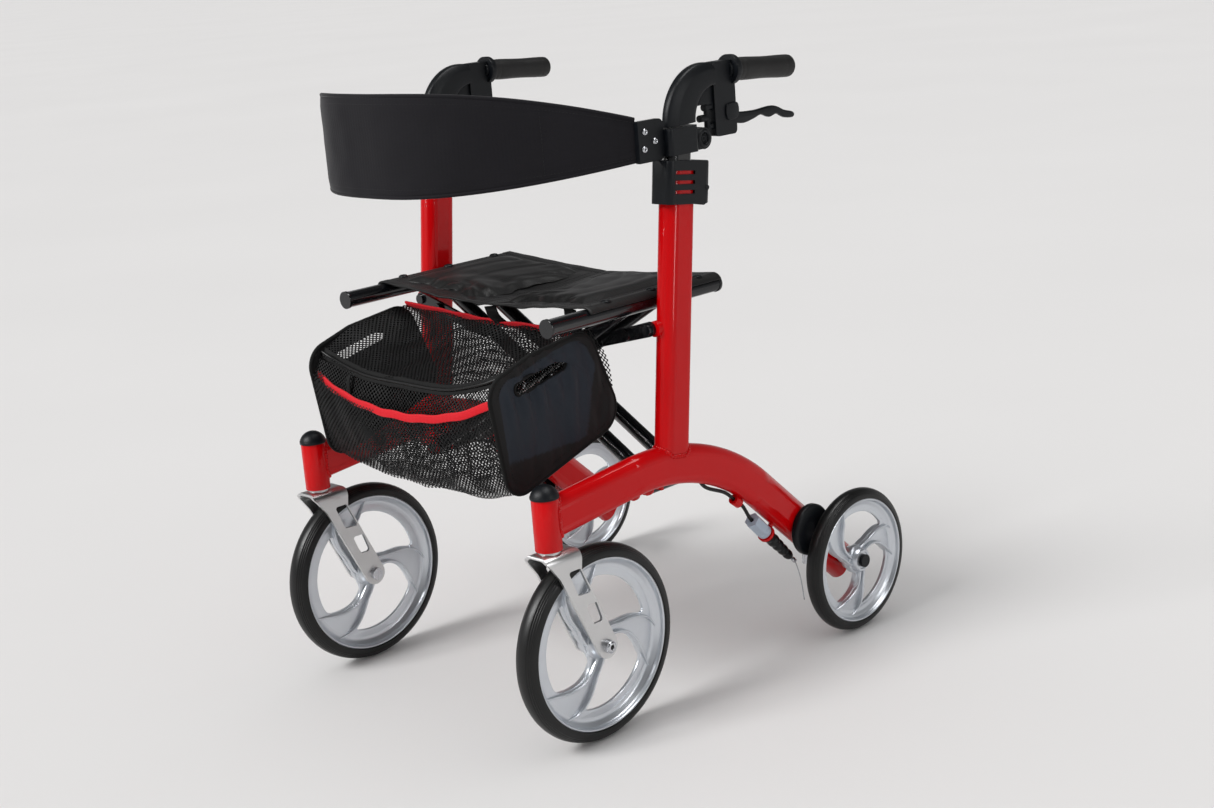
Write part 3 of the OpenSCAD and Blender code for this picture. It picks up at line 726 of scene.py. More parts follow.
def grip(side, s):
    """Grip with a flange, a waist, shallow rings and a rimmed end."""
    along = np.linspace(7, GRIP_LENGTH - 12, 60)
    radius = 14.35 + 0.35 * np.cos((along - 20) / 80 * FULL_TURN)
    radius -= 0.35 * np.exp(-((along - 14) / 1.4) ** 2)
    radius -= 0.3 * np.exp(-((along - GRIP_LENGTH + 16) / 1.2) ** 2)
    start = [(11.2, 1.5), (14.2, 1.5), (14.9, 2.2), (14.9, 5.2), (14.4, 6.2)]
    dome = [(r, GRIP_LENGTH - back) for r, back in ((14.6, 5), (14.3, 2.4), (13.2, 0.8),
                                                    (11.6, 0), (10.2, 0.9), (0.01, 1.6))]
    profile = start + list(zip(radius, along)) + dome + [(0.01, 102.0), (11.2, 101.5)]
    lathe(f"{side}_grip_sleeve", (s * SIDE_X, *GRIP_START), profile, "grip_rubber",
          f"{side}_handle", (f"{side}_grip",), segments=64,
          axis=(0, math.cos(GRIP_FALL), -math.sin(GRIP_FALL)))


def brake_lever(side, s):
    """Flat lever with a wavy underside and rounded edges, on its pin."""
    upper = [(84, 749), (100, 744.5), (130, 743), (166, 744.5), (188, 736.5), (204, 732.5)]
    tip = [(208, 728.5), (204, 724.6)]
    lower = [(188, 726.5), (173, 733), (158, 730.5), (142, 735.5), (126, 732), (106, 729),
             (84, 733)]
    back = [(77.5, 736), (76, 741), (77.5, 746)]
    outline = curve_through(upper + tip + lower + back, 5, closed=True)
    node = f"{side}_brake_lever"
    plate(node + "_blade", [outline[::-1]], 7, 2.2, "black_plastic", node, s * SIDE_X, (node,))
    lathe(node + "_pin", (s * SIDE_X, *LEVER_PIN),
          there_and_back([(0.01, -9.4), (2.4, -9.4), (3, -8.8)]), "black_plastic", node,
          segments=32)


def handle_details(side, s):
    """Rivets of the bracket, the round clamp and screw behind the collar, and two webs."""
    body = f"{side}_handle"
    head = [(0.01, 1.43), (1.32, 1.56), (1.848, 2.6), (3.08, 2.34), (4.092, 1.3), (4.4, 0),
            (0.01, 0)]
    for k, place in enumerate(RIVETS):
        for face, letter in ((1, "a"), (-1, "b")):
            lathe(f"{side}_bracket_rivet{k}{letter}", (s * (SIDE_X + face * 3.4), *place), head,
                  "zinc", body, segments=28, axis=(s * face, 0, 0))
    ball = [(4.5, -12), (9, -12), (12.6, -10), (13.6, -6), (13.6, 6), (12.6, 10), (10.6, 12.2),
            (8.6, 12.6), (7.2, 11.6), (6.4, 9.4), (4.5, 9.4)]
    screw = [(0.01, -11), (4.6, -11), (4.6, 9.6), (3.8, 10.6), (2.2, 10.8), (1.6, 9.2),
             (0.01, 9.2)]
    for name, profile, segments in (("ring", curve_through(ball, 3, closed=True), 56),
                                    ("screw", screw, 32)):
        lathe(f"{side}_socket_{name}", (s * SIDE_X, *SOCKET), profile, "black_plastic", body,
              segments=segments, axis=(s, 0, 0))
    boss = [(68, 741), (67, 752), (71, 757.5), (89, 757.5), (89.5, 741), (74, 737)]
    web = [(11, 762), (34, 761), (55, 761), (55, 785), (42, 785), (24, 778), (14, 770)]
    for name, ring, steps, thickness, edge, out in (("lever_boss", boss, 5, 2.8, 0.9, 8.4),
                                                    ("neck_web", web, 4, 9.0, 1.0, 0)):
        plate(f"{side}_{name}", [curve_through(ring, steps, closed=True)[::-1]], thickness, edge,
              "black_plastic", body, s * (SIDE_X + out))


on_both_sides(neck, grip, brake_lever, handle_details)


# ---------------------------------------------------------------- brakes

CABLE_RUN = ((-22, 288), (-6, 269.5), (28, 253.5), (46, 239.5), (63, 224.7), (77, 203),
             (92, 188), (114, 166))
# The boot lies on the line where y + z has this sum, between two values of y
BOOT_SUM = 280.0
BOOT_START, BOOT_END = 112.0, 154.0


def brake_cover(side, s):
    """Cup over the brake arm, with a rounded rim and a small inspection plug."""
    node, body = f"{side}_brake_drum", f"{side}_frame"
    low, high = box_mm(node)
    y, z = (low[1:] + high[1:]) / 2
    inner, outer = sorted((abs(low[0]), abs(high[0])))
    depth = outer - inner
    outside = [(24, depth), (32, depth - 0.1), (34.4, depth - 0.9), (35.7, depth - 2.4),
               (36, depth - 4), (36, 1.5)]
    inside = [(35.2, 0.2), (33.5, 0.2), (33.2, depth - 5), (29, depth - 2.6), (0.01, depth - 2.6)]
    lathe(node + "_cup", (s * inner, y, z),
          [(0.01, depth), *curve_through(outside, 4), *inside], "black_plastic", body, (node,),
          segments=96, axis=(s, 0, 0))
    plug = [(0.01, -0.6), (2.2, -0.6), (2.6, 0.4), (3.6, 0.5), (4.2, -0.2), (4.2, -1.4),
            (0.01, -1.4)]
    lathe(node + "_plug", (s * outer, y + 10, z - 4), plug, "cable_black", body, segments=28,
          axis=(s, 0, 0))


def cable(side, s):
    """Outer cable, ribbed boot, bare wire and anchor."""
    node, body = f"{side}_brake_cable", f"{side}_frame"
    sweep(node + "_outer", yz_path(curve_through(CABLE_RUN, 8), s * SIDE_X), circle(2.5, 14),
          "cable_black", body, up=(1, 0, 0), stands_for=(node,))
    start, end = ((s * SIDE_X, y, BOOT_SUM - y) for y in (BOOT_START, BOOT_END))
    length = (BOOT_END - BOOT_START) * math.sqrt(2)
    along = np.linspace(0, length, 90)
    radius = 8.2 - 3.0 * along / length + 1.4 * np.abs(np.cos(along / length * 4.5 * math.pi))
    boot = [(0.01, 0), *zip(radius, along), (3.4, length + 1), (0.01, length + 1)]
    lathe(node + "_boot", start, boot, "cable_black", body, segments=36, axis=(0, 1, -1))
    hang = [(s * (SIDE_X + out), y, z) for out, y, z in ((4, 160, 117), (6, 166, 97),
                                                         (6, 170, 80), (6, 173.5, 57))]
    sweep(node + "_wire", curve_through([end] + hang, 6), circle(0.75, 8), "zinc", body,
          up=(1, 0, 0))
    lathe(node + "_anchor", (s * (SIDE_X + 3), 158.5, 120),
          there_and_back([(0.01, -3.5), (2.6, -3.5), (3.2, -2.6)]), "zinc", body, segments=20,
          axis=(0.3, 0.6, -0.8))


on_both_sides(brake_cover, cable)


# ---------------------------------------------------------------- weld beads

ARCH_CENTRE = (-110.77, 14.9)
ARCH_MIDDLE = 305.0
ARCH_SIZE = (30.0, 52.0)
ARCH_KNEE = (-140.0, 318.5)
ARCH_SLOPE = math.radians(5.5)
POST_SIZE = (29.6, 50.0)
POST_FOOT = (-65.0, 335.0)
LEAN = math.radians(7.1)
HEAD_R = 17.0


def oval_ring(width, depth):
    """Points round a flat-sided oval, as (across, along its depth)."""
    flat = circle(width / 2, 120)
    flat[:, 1] += np.sign(flat[:, 1]) * (depth - width) / 2
    return even(flat, 120, closed=True)


def bead(name, path, normal, radius, body):
    """A rippled weld bead along a closed path."""
    path = even(path, 150, closed=True)
    grow = 1 + 0.24 * np.sin(np.arange(150) / 150 * FULL_TURN * 38)
    sweep(name, path, circle(radius, 10), "frame_red", body, up=normal, closed=True, grow=grow)


def arch_top(x_off):
    """Distance from the arch's centre to its upper surface at an offset across the tube."""
    width, depth = ARCH_SIZE
    return ARCH_MIDDLE + (depth - width) / 2 + math.sqrt(max((width / 2) ** 2 - x_off ** 2, 0))


def foot_path(s):
    """Where the upright meets the arch, found by halving along each line of the upright."""
    out = []
    for u, v in oval_ring(*POST_SIZE):
        low, high = -60.0, 60.0
        for _ in range(30):
            t = (low + high) / 2
            y = POST_FOOT[0] + v * math.cos(LEAN) + t * math.sin(LEAN)
            z = POST_FOOT[1] - v * math.sin(LEAN) + t * math.cos(LEAN)
            above = math.hypot(y - ARCH_CENTRE[0], z - ARCH_CENTRE[1]) > arch_top(u)
            low, high = (low, t) if above else (t, high)
        out.append((s * (SIDE_X + u), y, z))
    return np.array(out)


def head_path(s):
    """Where the front leg of the arch meets the caster tube."""
    head_y = centre_mm("left_caster_cap")[1]
    out = []
    for u, v in oval_ring(ARCH_SIZE[0] - 0.2, ARCH_SIZE[1] - 0.2):
        y = head_y + math.sqrt(HEAD_R ** 2 - min(u * u, HEAD_R ** 2 - 4))
        z = ARCH_KNEE[1] + (y - ARCH_KNEE[0]) * math.tan(ARCH_SLOPE) + v / math.cos(ARCH_SLOPE)
        out.append((s * (SIDE_X + u), y, z))
    return np.array(out)


def welds(side, s):
    bead(f"{side}_upright_weld", foot_path(s), (0, 0, 1), 2.7, f"{side}_frame")
    bead(f"{side}_head_weld", head_path(s), (0, 1, 0), 2.5, f"{side}_frame")


on_both_sides(welds)


# ---------------------------------------------------------------- cloth

SWELL_STEPS = 20


def corners(mesh):
    return np.array([v.co for v in mesh.vertices])


def inflated(points, faces, voxel, pressure, cap):
    """New points and faces of a closed form blown up as cloth. No point moves more than cap."""
    mesh = bpy.data.meshes.new("swell")
    mesh.from_pydata((np.asarray(points, float) * MM).tolist(), [], faces)
    holder = place_object("swell", mesh)
    remesh = holder.modifiers.new("remesh", "REMESH")
    remesh.mode = "VOXEL"
    remesh.voxel_size = voxel * MM

    def settled():
        graph = bpy.context.evaluated_depsgraph_get()
        return bpy.data.meshes.new_from_object(holder.evaluated_get(graph))

    holder.data = settled()
    holder.modifiers.clear()
    before = corners(holder.data)
    cloth = holder.modifiers.new("cloth", "CLOTH")
    cloth.settings.use_pressure = True
    cloth.settings.uniform_pressure_force = pressure
    cloth.settings.effector_weights.gravity = 0
    cloth.settings.quality = 6
    cloth.settings.mass = 0.25
    cloth.settings.bending_stiffness = 0.2
    cloth.collision_settings.use_collision = False
    cloth.point_cache.frame_start, cloth.point_cache.frame_end = 1, SWELL_STEPS
    for step in range(1, SWELL_STEPS + 1):
        bpy.context.scene.frame_set(step)
    move = corners(settled()) - before
    holder.modifiers.clear()
    length = np.linalg.norm(move, axis=1, keepdims=True)
    limit = cap * MM
    move *= limit * np.tanh(length / limit) / np.maximum(length, 1e-9)
    holder.data.vertices.foreach_set("co", (before + move).ravel())
    bpy.context.scene.frame_set(1)
    finer = holder.modifiers.new("finer", "SUBSURF")
    finer.levels = 1
    done = settled()
    bpy.data.objects.remove(holder)
    return corners(done) / MM, [tuple(p.vertices) for p in done.polygons]


# ---------------------------------------------------------------- seat

SEAT_Y = (-165.0, 72.0)
SEAT_MIDDLE_Z = 520.0
SEAT_CLOTH = 1.8
SEAT_WRAP = math.radians(62)
WRAP_R = RAIL_R + SEAT_CLOTH / 2 + 0.3
RAIL_TOP_Z = RAIL_Z + WRAP_R
FOAM_INSET = 17.0
FOAM_THICK = 5.0
STUDS_Y = (-128, -46, 40)
# Wrinkles of a seat half: two ends (x, y), width, and height or depth
CREASES = (((20, -158), (78, -112), 5, -2.6), ((12, -128), (96, -100), 7, -2.2),
           ((6, -96), (70, -60), 9, -1.6), ((118, -160), (92, -118), 6, -1.8),
           ((10, -40), (104, -74), 12, -1.5), ((150, -150), (120, -60), 14, -1.2),
           ((30, 62), (72, 8), 11, -1.4), ((130, 60), (98, 20), 10, -1.2))


def crease(x, y):
    """Height of the wrinkles of a seat half: dents with a ridge beside them."""
    total = np.zeros_like(x)
    for (x1, y1), (x2, y2), width, depth in CREASES:
        length = math.hypot(x2 - x1, y2 - y1)
        ahead = ((x2 - x1) / length, (y2 - y1) / length)
        t = ((x - x1) * ahead[0] + (y - y1) * ahead[1]) / length
        d = (y - y1) * ahead[0] - (x - x1) * ahead[1] + 5 * np.sin(t * 3.0)
        fade = np.clip(np.sin(np.clip(t, 0, 1) * math.pi), 0, 1) ** 0.6
        total += depth * fade * np.exp(-(d / width) ** 2)
        total -= 0.6 * depth * fade * np.exp(-((d - 1.7 * width) / width) ** 2)
    return total


def seat_height(x, y):
    """Middle of the smooth seat, from the middle line (x = 0) to the rail."""
    t = np.clip(x / RAIL_X, 0, 1)
    front = np.clip((y - SEAT_Y[0]) / (SEAT_Y[1] - SEAT_Y[0]), 0, 1)
    sag = SEAT_MIDDLE_Z + 3 * np.cos(front * FULL_TURN)
    return sag + (RAIL_TOP_Z - sag) * (0.86 * t + 0.14 * t ** 2)


def looseness(x):
    """From 1 in the middle of the seat to 0 at the rail."""
    return np.clip(1 - x / (RAIL_X - 14), 0, 1) ** 0.4


def cloth_height(x, y, s):
    """Middle of the seat cloth with its wrinkles, which die out towards the rail."""
    z = seat_height(x, y) + crease(x, y) * 0.8 * looseness(x)
    return z + ripple(np.stack([x * s, y, z], -1), 30, 0.8, 3) * looseness(x)


def seat_cloth(side, s):
    """Cloth of one half: from the middle line, over the rail and down its outer side."""
    over = np.linspace(0, SEAT_WRAP, 16)
    flat = np.linspace(-0.3, RAIL_X, 60)[:-1]
    across = np.concatenate([flat, RAIL_X + WRAP_R * np.sin(over)])
    wrap = np.concatenate([np.zeros(len(flat)), over])
    x, y = np.meshgrid(across, np.linspace(*SEAT_Y, 110))
    z = np.where(wrap > 0, RAIL_Z + WRAP_R * np.cos(wrap), cloth_height(x, y, s))
    end = np.minimum(y - SEAT_Y[0], SEAT_Y[1] - y)
    loose = np.where(y < -40, 1.0, 0.25) * looseness(x)
    wave = (1.3 + 0.4 * s) * np.sin(x / 17) + 0.7 * np.sin(x / 7.3)
    z += np.exp(-(end / 9) ** 2) * loose * wave
    y = y + np.exp(-(end / 20) ** 2) * 1.4 * loose * np.sin(x / (23 + 4 * s))
    points = np.stack([s * x, y, z], -1)[:, ::s]
    thick = (SEAT_CLOTH + 0.9 * (end < 13))[:, ::s]
    covers = (f"{side}_seat_pad",) + (("seat_centre",) if s > 0 else ())
    sheet(f"{side}_seat_cloth", points, thick, "seat_fabric", f"{side}_seat", covers,
          uv=points[..., :2])


def seat_foam(side, s):
    """Foam panel of one half, blown up as cloth inside its stitched border."""
    x = np.linspace(FOAM_INSET, RAIL_X - 15, 30)
    y = np.linspace(SEAT_Y[0] + FOAM_INSET, SEAT_Y[1] - FOAM_INSET, 34)
    edge = np.minimum(np.minimum(x - x[0], x[-1] - x)[None, :],
                      np.minimum(y - y[0], y[-1] - y)[:, None])
    x, y = np.meshgrid(x, y)
    half = FOAM_THICK / 2 * (0.55 + 0.45 * np.clip(edge / 12, 0, 1))
    z = seat_height(x, y) + 0.8
    slab = [np.stack([s * x, y, z + up * half], -1).reshape(-1, 3) for up in (1, -1)]
    points, faces = inflated(np.vstack(slab), slab_faces(*x.shape), 4.5, 4.0, 6.0)
    points[:, 2] += crease(np.abs(points[:, 0]), points[:, 1])
    points[:, 2] += ripple(points, 30, 0.8, 5)
    shape(f"{side}_seat_foam", points, faces, "seat_fabric", f"{side}_seat", uv=points[:, :2])


def stitches(name, path, up, slot, body, gap=4.2, size=0.35):
    """A row of stitches along a path, as short beads of thread."""
    path = np.asarray(path, float)
    run = run_of(path)
    length, sides = 2.8, 6
    along = np.array([0.0, 0.15, 0.5, 0.85, 1.0])
    ring = circle(size, sides, 0.7)
    points, faces = [], []
    for start in np.arange(gap / 2, run[-1] - length, gap):
        thread = np.stack([np.interp(start + length * along, run, k) for k in path.T], 1)
        base = len(points) * sides * len(along)
        last = base + sides * (len(along) - 1)
        faces += [tuple(base + k for k in f) for f in grid_faces(len(along), sides, False, True)]
        faces += [tuple(range(base, base + sides)), tuple(range(last, last + sides))]
        points.append(sweep_points(thread, ring, up, grow=[0.2, 0.9, 1, 0.9, 0.2]).reshape(-1, 3))
    points = np.vstack(points)
    return shape(name, points, faces, slot, body, uv=points[:, :2], merge=False)


def seat_details(side, s):
    """Stitching round the foam panel and the studs on the rail."""
    body = f"{side}_seat"
    front, rear = SEAT_Y[0] + 14.0, SEAT_Y[1] - 14.0
    inner, outer = 13.0, RAIL_X - 11.5
    rows = {"front": (0.5, front, RAIL_X - 2, front), "rear": (0.5, rear, RAIL_X - 2, rear),
            "inner": (inner, front, inner, rear), "outer": (outer, front, outer, rear)}
    for name, (x1, y1, x2, y2) in rows.items():
        x, y = np.linspace(x1, x2, 80), np.linspace(y1, y2, 80)
        z = cloth_height(x, y, s) + SEAT_CLOTH / 2 + 0.1
        stitches(f"{side}_seat_{name}_stitch", np.stack([s * x, y, z], 1), (0, 0, 1), "thread",
                 body, size=0.45)
    stud = [(0.01, 2.6), (2.4, 2.5), (4.6, 2.0), (6.0, 1.1), (6.6, 0.2), (6.8, -0.8),
            (0.01, -0.8)]
    for k, y in enumerate(STUDS_Y):
        lathe(f"{side}_seat_stud{k}", (s * RAIL_X, y, RAIL_TOP_Z + SEAT_CLOTH / 2), stud,
              "black_plastic", body, segments=32, axis=(0, 0, 1))


on_both_sides(seat_cloth, seat_foam, seat_details)


# ---------------------------------------------------------------- backrest

BAND_END = 229.5
BAND_DEPTH = 240.0
BAND_ROWS = 181
BAND_COLUMNS = 27
HEM = 8.0
SEAM_X = 187.0


def backrest():
    """A band that sweeps out in front of the handles, wider in the middle, with stitched hems."""
    s = np.sin(np.linspace(-1, 1, BAND_ROWS) * math.pi / 2)[:, None]
    v = np.linspace(0, 1, BAND_COLUMNS)[None, :]
    x = s * BAND_END + 0 * v
    y = -86 - BAND_DEPTH * (1 - np.abs(s) ** 2.8) + 0 * v
    top = 757 + 54 * (1 - s ** 4)
    low = 707 - 17 * (1 - s ** 4)
    z = low + (top - low) * v
    run = run_of(np.stack([x[:, 0], y[:, 0]], 1))[:, None]
    drop = np.minimum(v, 1 - v) * (top - low)
    ends = np.minimum(run, run[-1] - run)
    puff = np.clip(drop / 14, 0, 1) * np.clip((ends - 22) / 16, 0, 1)
    places = np.stack([x, y, z], -1)
    y = y + (ripple(places, 70, 2.4, 8) + ripple(places, 24, 0.6, 2)) * (0.35 + 0.65 * puff)
    groove = (np.exp(-((drop - 11) / 1.3) ** 2) + np.exp(-((ends - 24) / 1.3) ** 2)
              + np.exp(-((np.abs(x) - SEAM_X) / 1.2) ** 2))
    thick = 3.2 + 2.6 * puff ** 0.7 - 1.3 * np.clip(groove, 0, 1)
    places = np.stack([x, y, z], -1)
    pieces = [sheet("backrest_cloth", places, thick, "backrest_fabric", "left_handle",
                    ("backrest_band",), uv=np.stack([run + 0 * z, z], -1))]

    def outward(column):
        across = np.gradient(places[:, column], axis=0)
        return unit(across[:, [1, 0, 2]] * (1, -1, 0))

    def seam(name, path, count, up):
        pieces.append(stitches(name, even(path, count), up, "thread", "left_handle", gap=4.4,
                               size=0.5))

    depth = np.minimum(v[0], 1 - v[0]) * (top - low)[BAND_ROWS // 2]
    for name, column, half in (("top", -1, v[0] > 0.5), ("low", 0, v[0] < 0.5)):
        pieces.append(sweep(f"backrest_{name}_piping", even(places[:, column], 200),
                            circle(2.5, 12, 1.1), "backrest_fabric", "left_handle"))
        hem = np.argmin(np.where(half, np.abs(depth - HEM), np.inf))
        for face, sign in (("out", 1), ("in", -1)):
            seam(f"backrest_{name}_stitch_{face}", places[:, hem] + sign * outward(hem) * 2.15,
                 400, (0, 0, 1))
    for k, at in enumerate((SEAM_X - 4, 4 - SEAM_X)):
        row = np.argmin(np.abs(x[:, 0] - at))
        seam(f"backrest_seam_stitch{k}", places[row, 2:-2] + outward(8)[row] * 2.9, 120,
             (1, 0, 0))
    for piece in pieces:
        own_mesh(piece)


backrest()


# ---------------------------------------------------------------- bag

# Circles whose hull is the outline of a side panel: (y, z, radius)
PANEL_CIRCLES = ((-238, 466, 26), (-165, 470, 31), (-282, 448, 30), (-139, 400, 32),
                 (-272, 352, 26))
PANEL_THICK = 2.0
PANEL_RINGS = 44
SLOT_ENDS = np.array([(-263.0, 455.5), (-193.0, 470.5)])
SLOT_R = 8.2
OUTLINE_POINTS = 168
PATCH_CORNER = (-163.0, 368.0)
PATCH_LEAN = 0.27
NET_REACH = PANEL_X - 1.5


def panel_outline():
    ring = [circle(r, 72) + (y, z) for y, z, r in PANEL_CIRCLES]
    return even(hull(np.vstack(ring)), OUTLINE_POINTS, closed=True)


def slot_outline(grow=0.0):
    """A long rounded hole, as one closed ring."""
    heading = math.atan2(*(SLOT_ENDS[1] - SLOT_ENDS[0])[::-1])
    turn = np.linspace(-math.pi / 2, math.pi / 2, 24) + heading
    ring = [end + polar(SLOT_R + grow, turn + extra)
            for end, extra in ((SLOT_ENDS[1], 0), (SLOT_ENDS[0], math.pi))]
    return even(np.vstack(ring), OUTLINE_POINTS, closed=True)


def matched(inner, outer):
    """Turns the inner ring so that its points face those of the outer ring."""
    middle = inner.mean(0)
    facing = math.atan2(*(outer[0] - middle)[::-1])
    angles = np.arctan2(*(inner - middle).T[::-1])
    start = np.argmin(np.abs(np.angle(np.exp(1j * (angles - facing)))))
    return np.roll(inner, -start, 0)


def panel(side, s):
    """Stiff side panel: cloth over a board, with a slot for the hand and a bound edge."""
    body, node = f"{side}_bag", f"{side}_bag_panel"
    outer = panel_outline()
    inner = matched(slot_outline(), outer)
    t = np.linspace(0, 1, PANEL_RINGS)[:, None, None] ** 1.15
    flat = inner + (outer - inner) * t
    y, z = flat[..., 0], flat[..., 1]
    edge = np.linalg.norm(outer - flat, axis=2)
    near_slot = np.linalg.norm(flat - inner, axis=2)
    puckers = 2.0 * np.exp(-(near_slot / 30) ** 2) * np.sin((y + 0.3 * z) / 4.2)
    swell = 1.5 * np.clip(edge / 40, 0, 1) * np.clip(near_slot / 20, 0, 1)
    folds = ripple(np.stack([y * 1.8, z * 0.4, 0 * y], -1), 30, 4.0, 4)
    lift = swell + puckers * np.clip(near_slot / 5, 0, 1) + folds * np.clip(edge / 18, 0, 1)
    above = z - PATCH_CORNER[1]
    before = PATCH_CORNER[0] - y + PATCH_LEAN * above
    patch = (np.clip(edge - 12.5, 0, 1) * np.clip(above / 1.2, 0, 1)
             * np.clip(before / 1.2, 0, 1))
    sides = [np.stack([s * (PANEL_X + out), y, z], -1).reshape(-1, 3)
             for out in (PANEL_THICK + lift, np.full_like(lift, -PANEL_THICK))]
    count = len(sides[0])
    hole = list(range(OUTLINE_POINTS))
    rim_points = list(range(count - OUTLINE_POINTS, count))
    faces = two_sided(grid_faces(PANEL_RINGS, OUTLINE_POINTS, False, True), count,
                      [hole, rim_points])
    shape(f"{side}_panel_cloth", np.vstack(sides), faces, "bag_panel_fabric", body, (node,),
          uv=np.vstack([flat.reshape(-1, 2)] * 2), merge=False,
          patch=np.concatenate([patch.ravel(), np.zeros(count)]))
    for name, ring, section in (("binding", outer, circle(3.4, 14, 0.8)),
                                ("slot_binding", slot_outline(0.6), circle(1.9, 10))):
        sweep(f"{side}_panel_{name}", yz_path(ring, s * PANEL_X), section, "binding", body,
              up=(1, 0, 0), closed=True)
    seam_ring = even(outer + unit(outer.mean(0) - outer) * 10.5, 300)
    stitches(f"{side}_panel_stitch", yz_path(seam_ring, s * (PANEL_X + PANEL_THICK + 0.45)),
             (1, 0, 0), "binding", body)


# Profiles of the net as (y, z): at the side panels and in the middle
BAG_SIDE = ((-140, 503), (-113, 462), (-107, 412), (-117, 378), (-160, 358), (-226, 338),
            (-270, 326), (-294, 338), (-304, 380), (-312, 428), (-300, 462))
BAG_MIDDLE = ((-142, 494), (-126, 460), (-118, 410), (-122, 356), (-150, 313), (-205, 293),
              (-252, 296), (-286, 318), (-304, 356), (-310, 404), (-300, 449))
LID_SIDE = ((-140, 503), (-166, 502), (-205, 497), (-240, 493), (-272, 480), (-296, 466))
LID_MIDDLE = ((-142, 494), (-162, 478), (-196, 464), (-232, 458), (-266, 452), (-300, 449))
POCKET_SIDE = ((-312, 443), (-308, 410), (-301, 372), (-290, 336))
POCKET_MIDDLE = ((-320, 412), (-321, 380), (-312, 344), (-290, 312))
ZIP = ((-NET_REACH, -292, 468), (-150, -291, 459), (-75, -300, 450), (0, -301, 449),
       (87, -302, 451), (150, -297, 464), (NET_REACH, -288, 474))
REAR_TRIM = ((-NET_REACH, -144, 504), (-110, -141, 500), (0, -141, 495), (95, -141, 496),
             (NET_REACH, -143, 489))
POCKET_TRIM = ((-NET_REACH, -303, 440), (-130, -312, 426), (-60, -318, 415), (0, -320, 412),
               (60, -321, 415), (130, -320, 428), (NET_REACH, -312, 446))
PULL = ((-104, -306, 449), (-103, -310, 440), (-102, -311, 425), (-102, -310, 417))
TRIM = round_box(3.2, 10.5, 1.4, 3)
TAPE = round_box(1.6, 14.0, 0.7, 3)
# Webbing straps: x at the rear trim and at the seat
STRAPS = ((16.0, 12.0), (160.0, 164.0))


def bag_piece(piece):
    """Gives a piece of the bag its own copy of its mesh."""
    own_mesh(piece)


def net_sheet(name, profiles, steps, columns, folds, slot, stands_for=()):
    """Net between two profiles, with folds (depth, size, seed) that fade near the panels."""
    edge, middle = (curve_through(profile, steps) for profile in profiles)
    x = np.sin(np.linspace(-1, 1, columns) * math.pi / 2) * NET_REACH
    t = 1 - np.abs(x / NET_REACH) ** 2.4
    flat = edge[:, None, :] + (middle - edge)[:, None, :] * t[None, :, None]
    points = np.concatenate([np.broadcast_to(x[None, :, None], flat.shape[:2] + (1,)), flat], 2)
    depth, size, seed = folds
    squeezed = points * (1.0, 0.6, 0.6)
    move = ripple(squeezed, size, depth, seed) + ripple(squeezed, size * 0.4, depth * 0.3, seed)
    move *= np.clip((NET_REACH - np.abs(x)) / 40, 0, 1)
    bag_piece(sheet(name, points + surface_normals(points) * move[..., None], 0.7, slot,
                    "left_bag", stands_for))


def trim(name, places, slot, section, up, wave):
    """A band along the edge of the net, with small waves."""
    path = even(curve_through(places, 16), 160)
    run = np.linspace(0, 1, len(path))
    path[:, 2] += wave * np.sin(run * 41) * np.sin(run * math.pi)
    path[:, 1] += wave * 0.7 * np.cos(run * 33) * np.sin(run * math.pi)
    bag_piece(sweep(name, path, section, slot, "left_bag", up=up))


def bag():
    """Net body, lid, pocket, trims, zip and straps."""
    net_sheet("bag_net_body", (BAG_SIDE, BAG_MIDDLE), 9, 90, (5.0, 60, 3), "bag_mesh_fabric",
              ("bag_mesh",))
    net_sheet("bag_net_lid", (LID_SIDE, LID_MIDDLE), 12, 100, (11.0, 62, 6), "lid_net",
              ("bag_lid",))
    net_sheet("bag_net_pocket", (POCKET_SIDE, POCKET_MIDDLE), 14, 90, (4.0, 50, 9),
              "bag_mesh_fabric")
    trim("bag_rear_trim", REAR_TRIM, "bag_trim", TRIM, (0, -0.6, 1), 0.6)
    trim("bag_pocket_trim", POCKET_TRIM, "bag_trim", TRIM, (0, 0.1, 1), 0.9)
    trim("bag_zip_tape", ZIP, "binding", TAPE, (0, 0.55, 1), 0.4)
    teeth = even(curve_through(np.array(ZIP) + (0, -2.0, 1.0), 16), 260)
    bag_piece(sweep("bag_zip_teeth", teeth, circle(1.9, 10), "cable_black", "left_bag",
                    grow=1 + 0.25 * (np.arange(260) % 2)))
    bag_piece(sweep("bag_zip_pull", curve_through(PULL, 5), round_box(6.5, 2.2, 0.9, 3),
                    "binding", "left_bag", up=(0, 1, 0.1)))
    for k, (low_x, high_x) in enumerate(STRAPS):
        low_z, high_z = 494, seat_height(high_x, -156.0) - 3
        path = curve_through([(low_x, -139.5, low_z),
                              ((low_x + high_x) / 2, -152, (low_z + high_z) / 2),
                              (high_x, -156, high_z)], 8)
        bag_piece(sweep(f"bag_strap{k}", path, round_box(22, 1.8, 0.8, 3), "binding",
                        "left_bag", up=(0, -1, 0.1)))


on_both_sides(panel)
bag()


# ---------------------------------------------------------------- camera, floor and light

# Places of the camera and the lights are in metres
CAMERA_AT = (1.7828, -1.6537, 0.9780)
CAMERA_AIM = (-0.6994, 0.6691, -0.2512)
CAMERA_ROLL = math.radians(-4.484)
CAMERA_LENS = 53.717
LIT_POINT = Vector((0.0, 0.0, 0.35))
FLOOR_R = 200
FLOOR_GAP = 0.0004


def aimed(name, data, at, ahead, roll=0.0):
    """A camera or light at a place, looking along a direction."""
    holder = place_object(name, data)
    holder.location = at
    holder.rotation_mode = "QUATERNION"
    straight = Vector(ahead).to_track_quat("-Z", "Y")
    holder.rotation_quaternion = straight @ Quaternion((0, 0, 1), roll)
    return holder


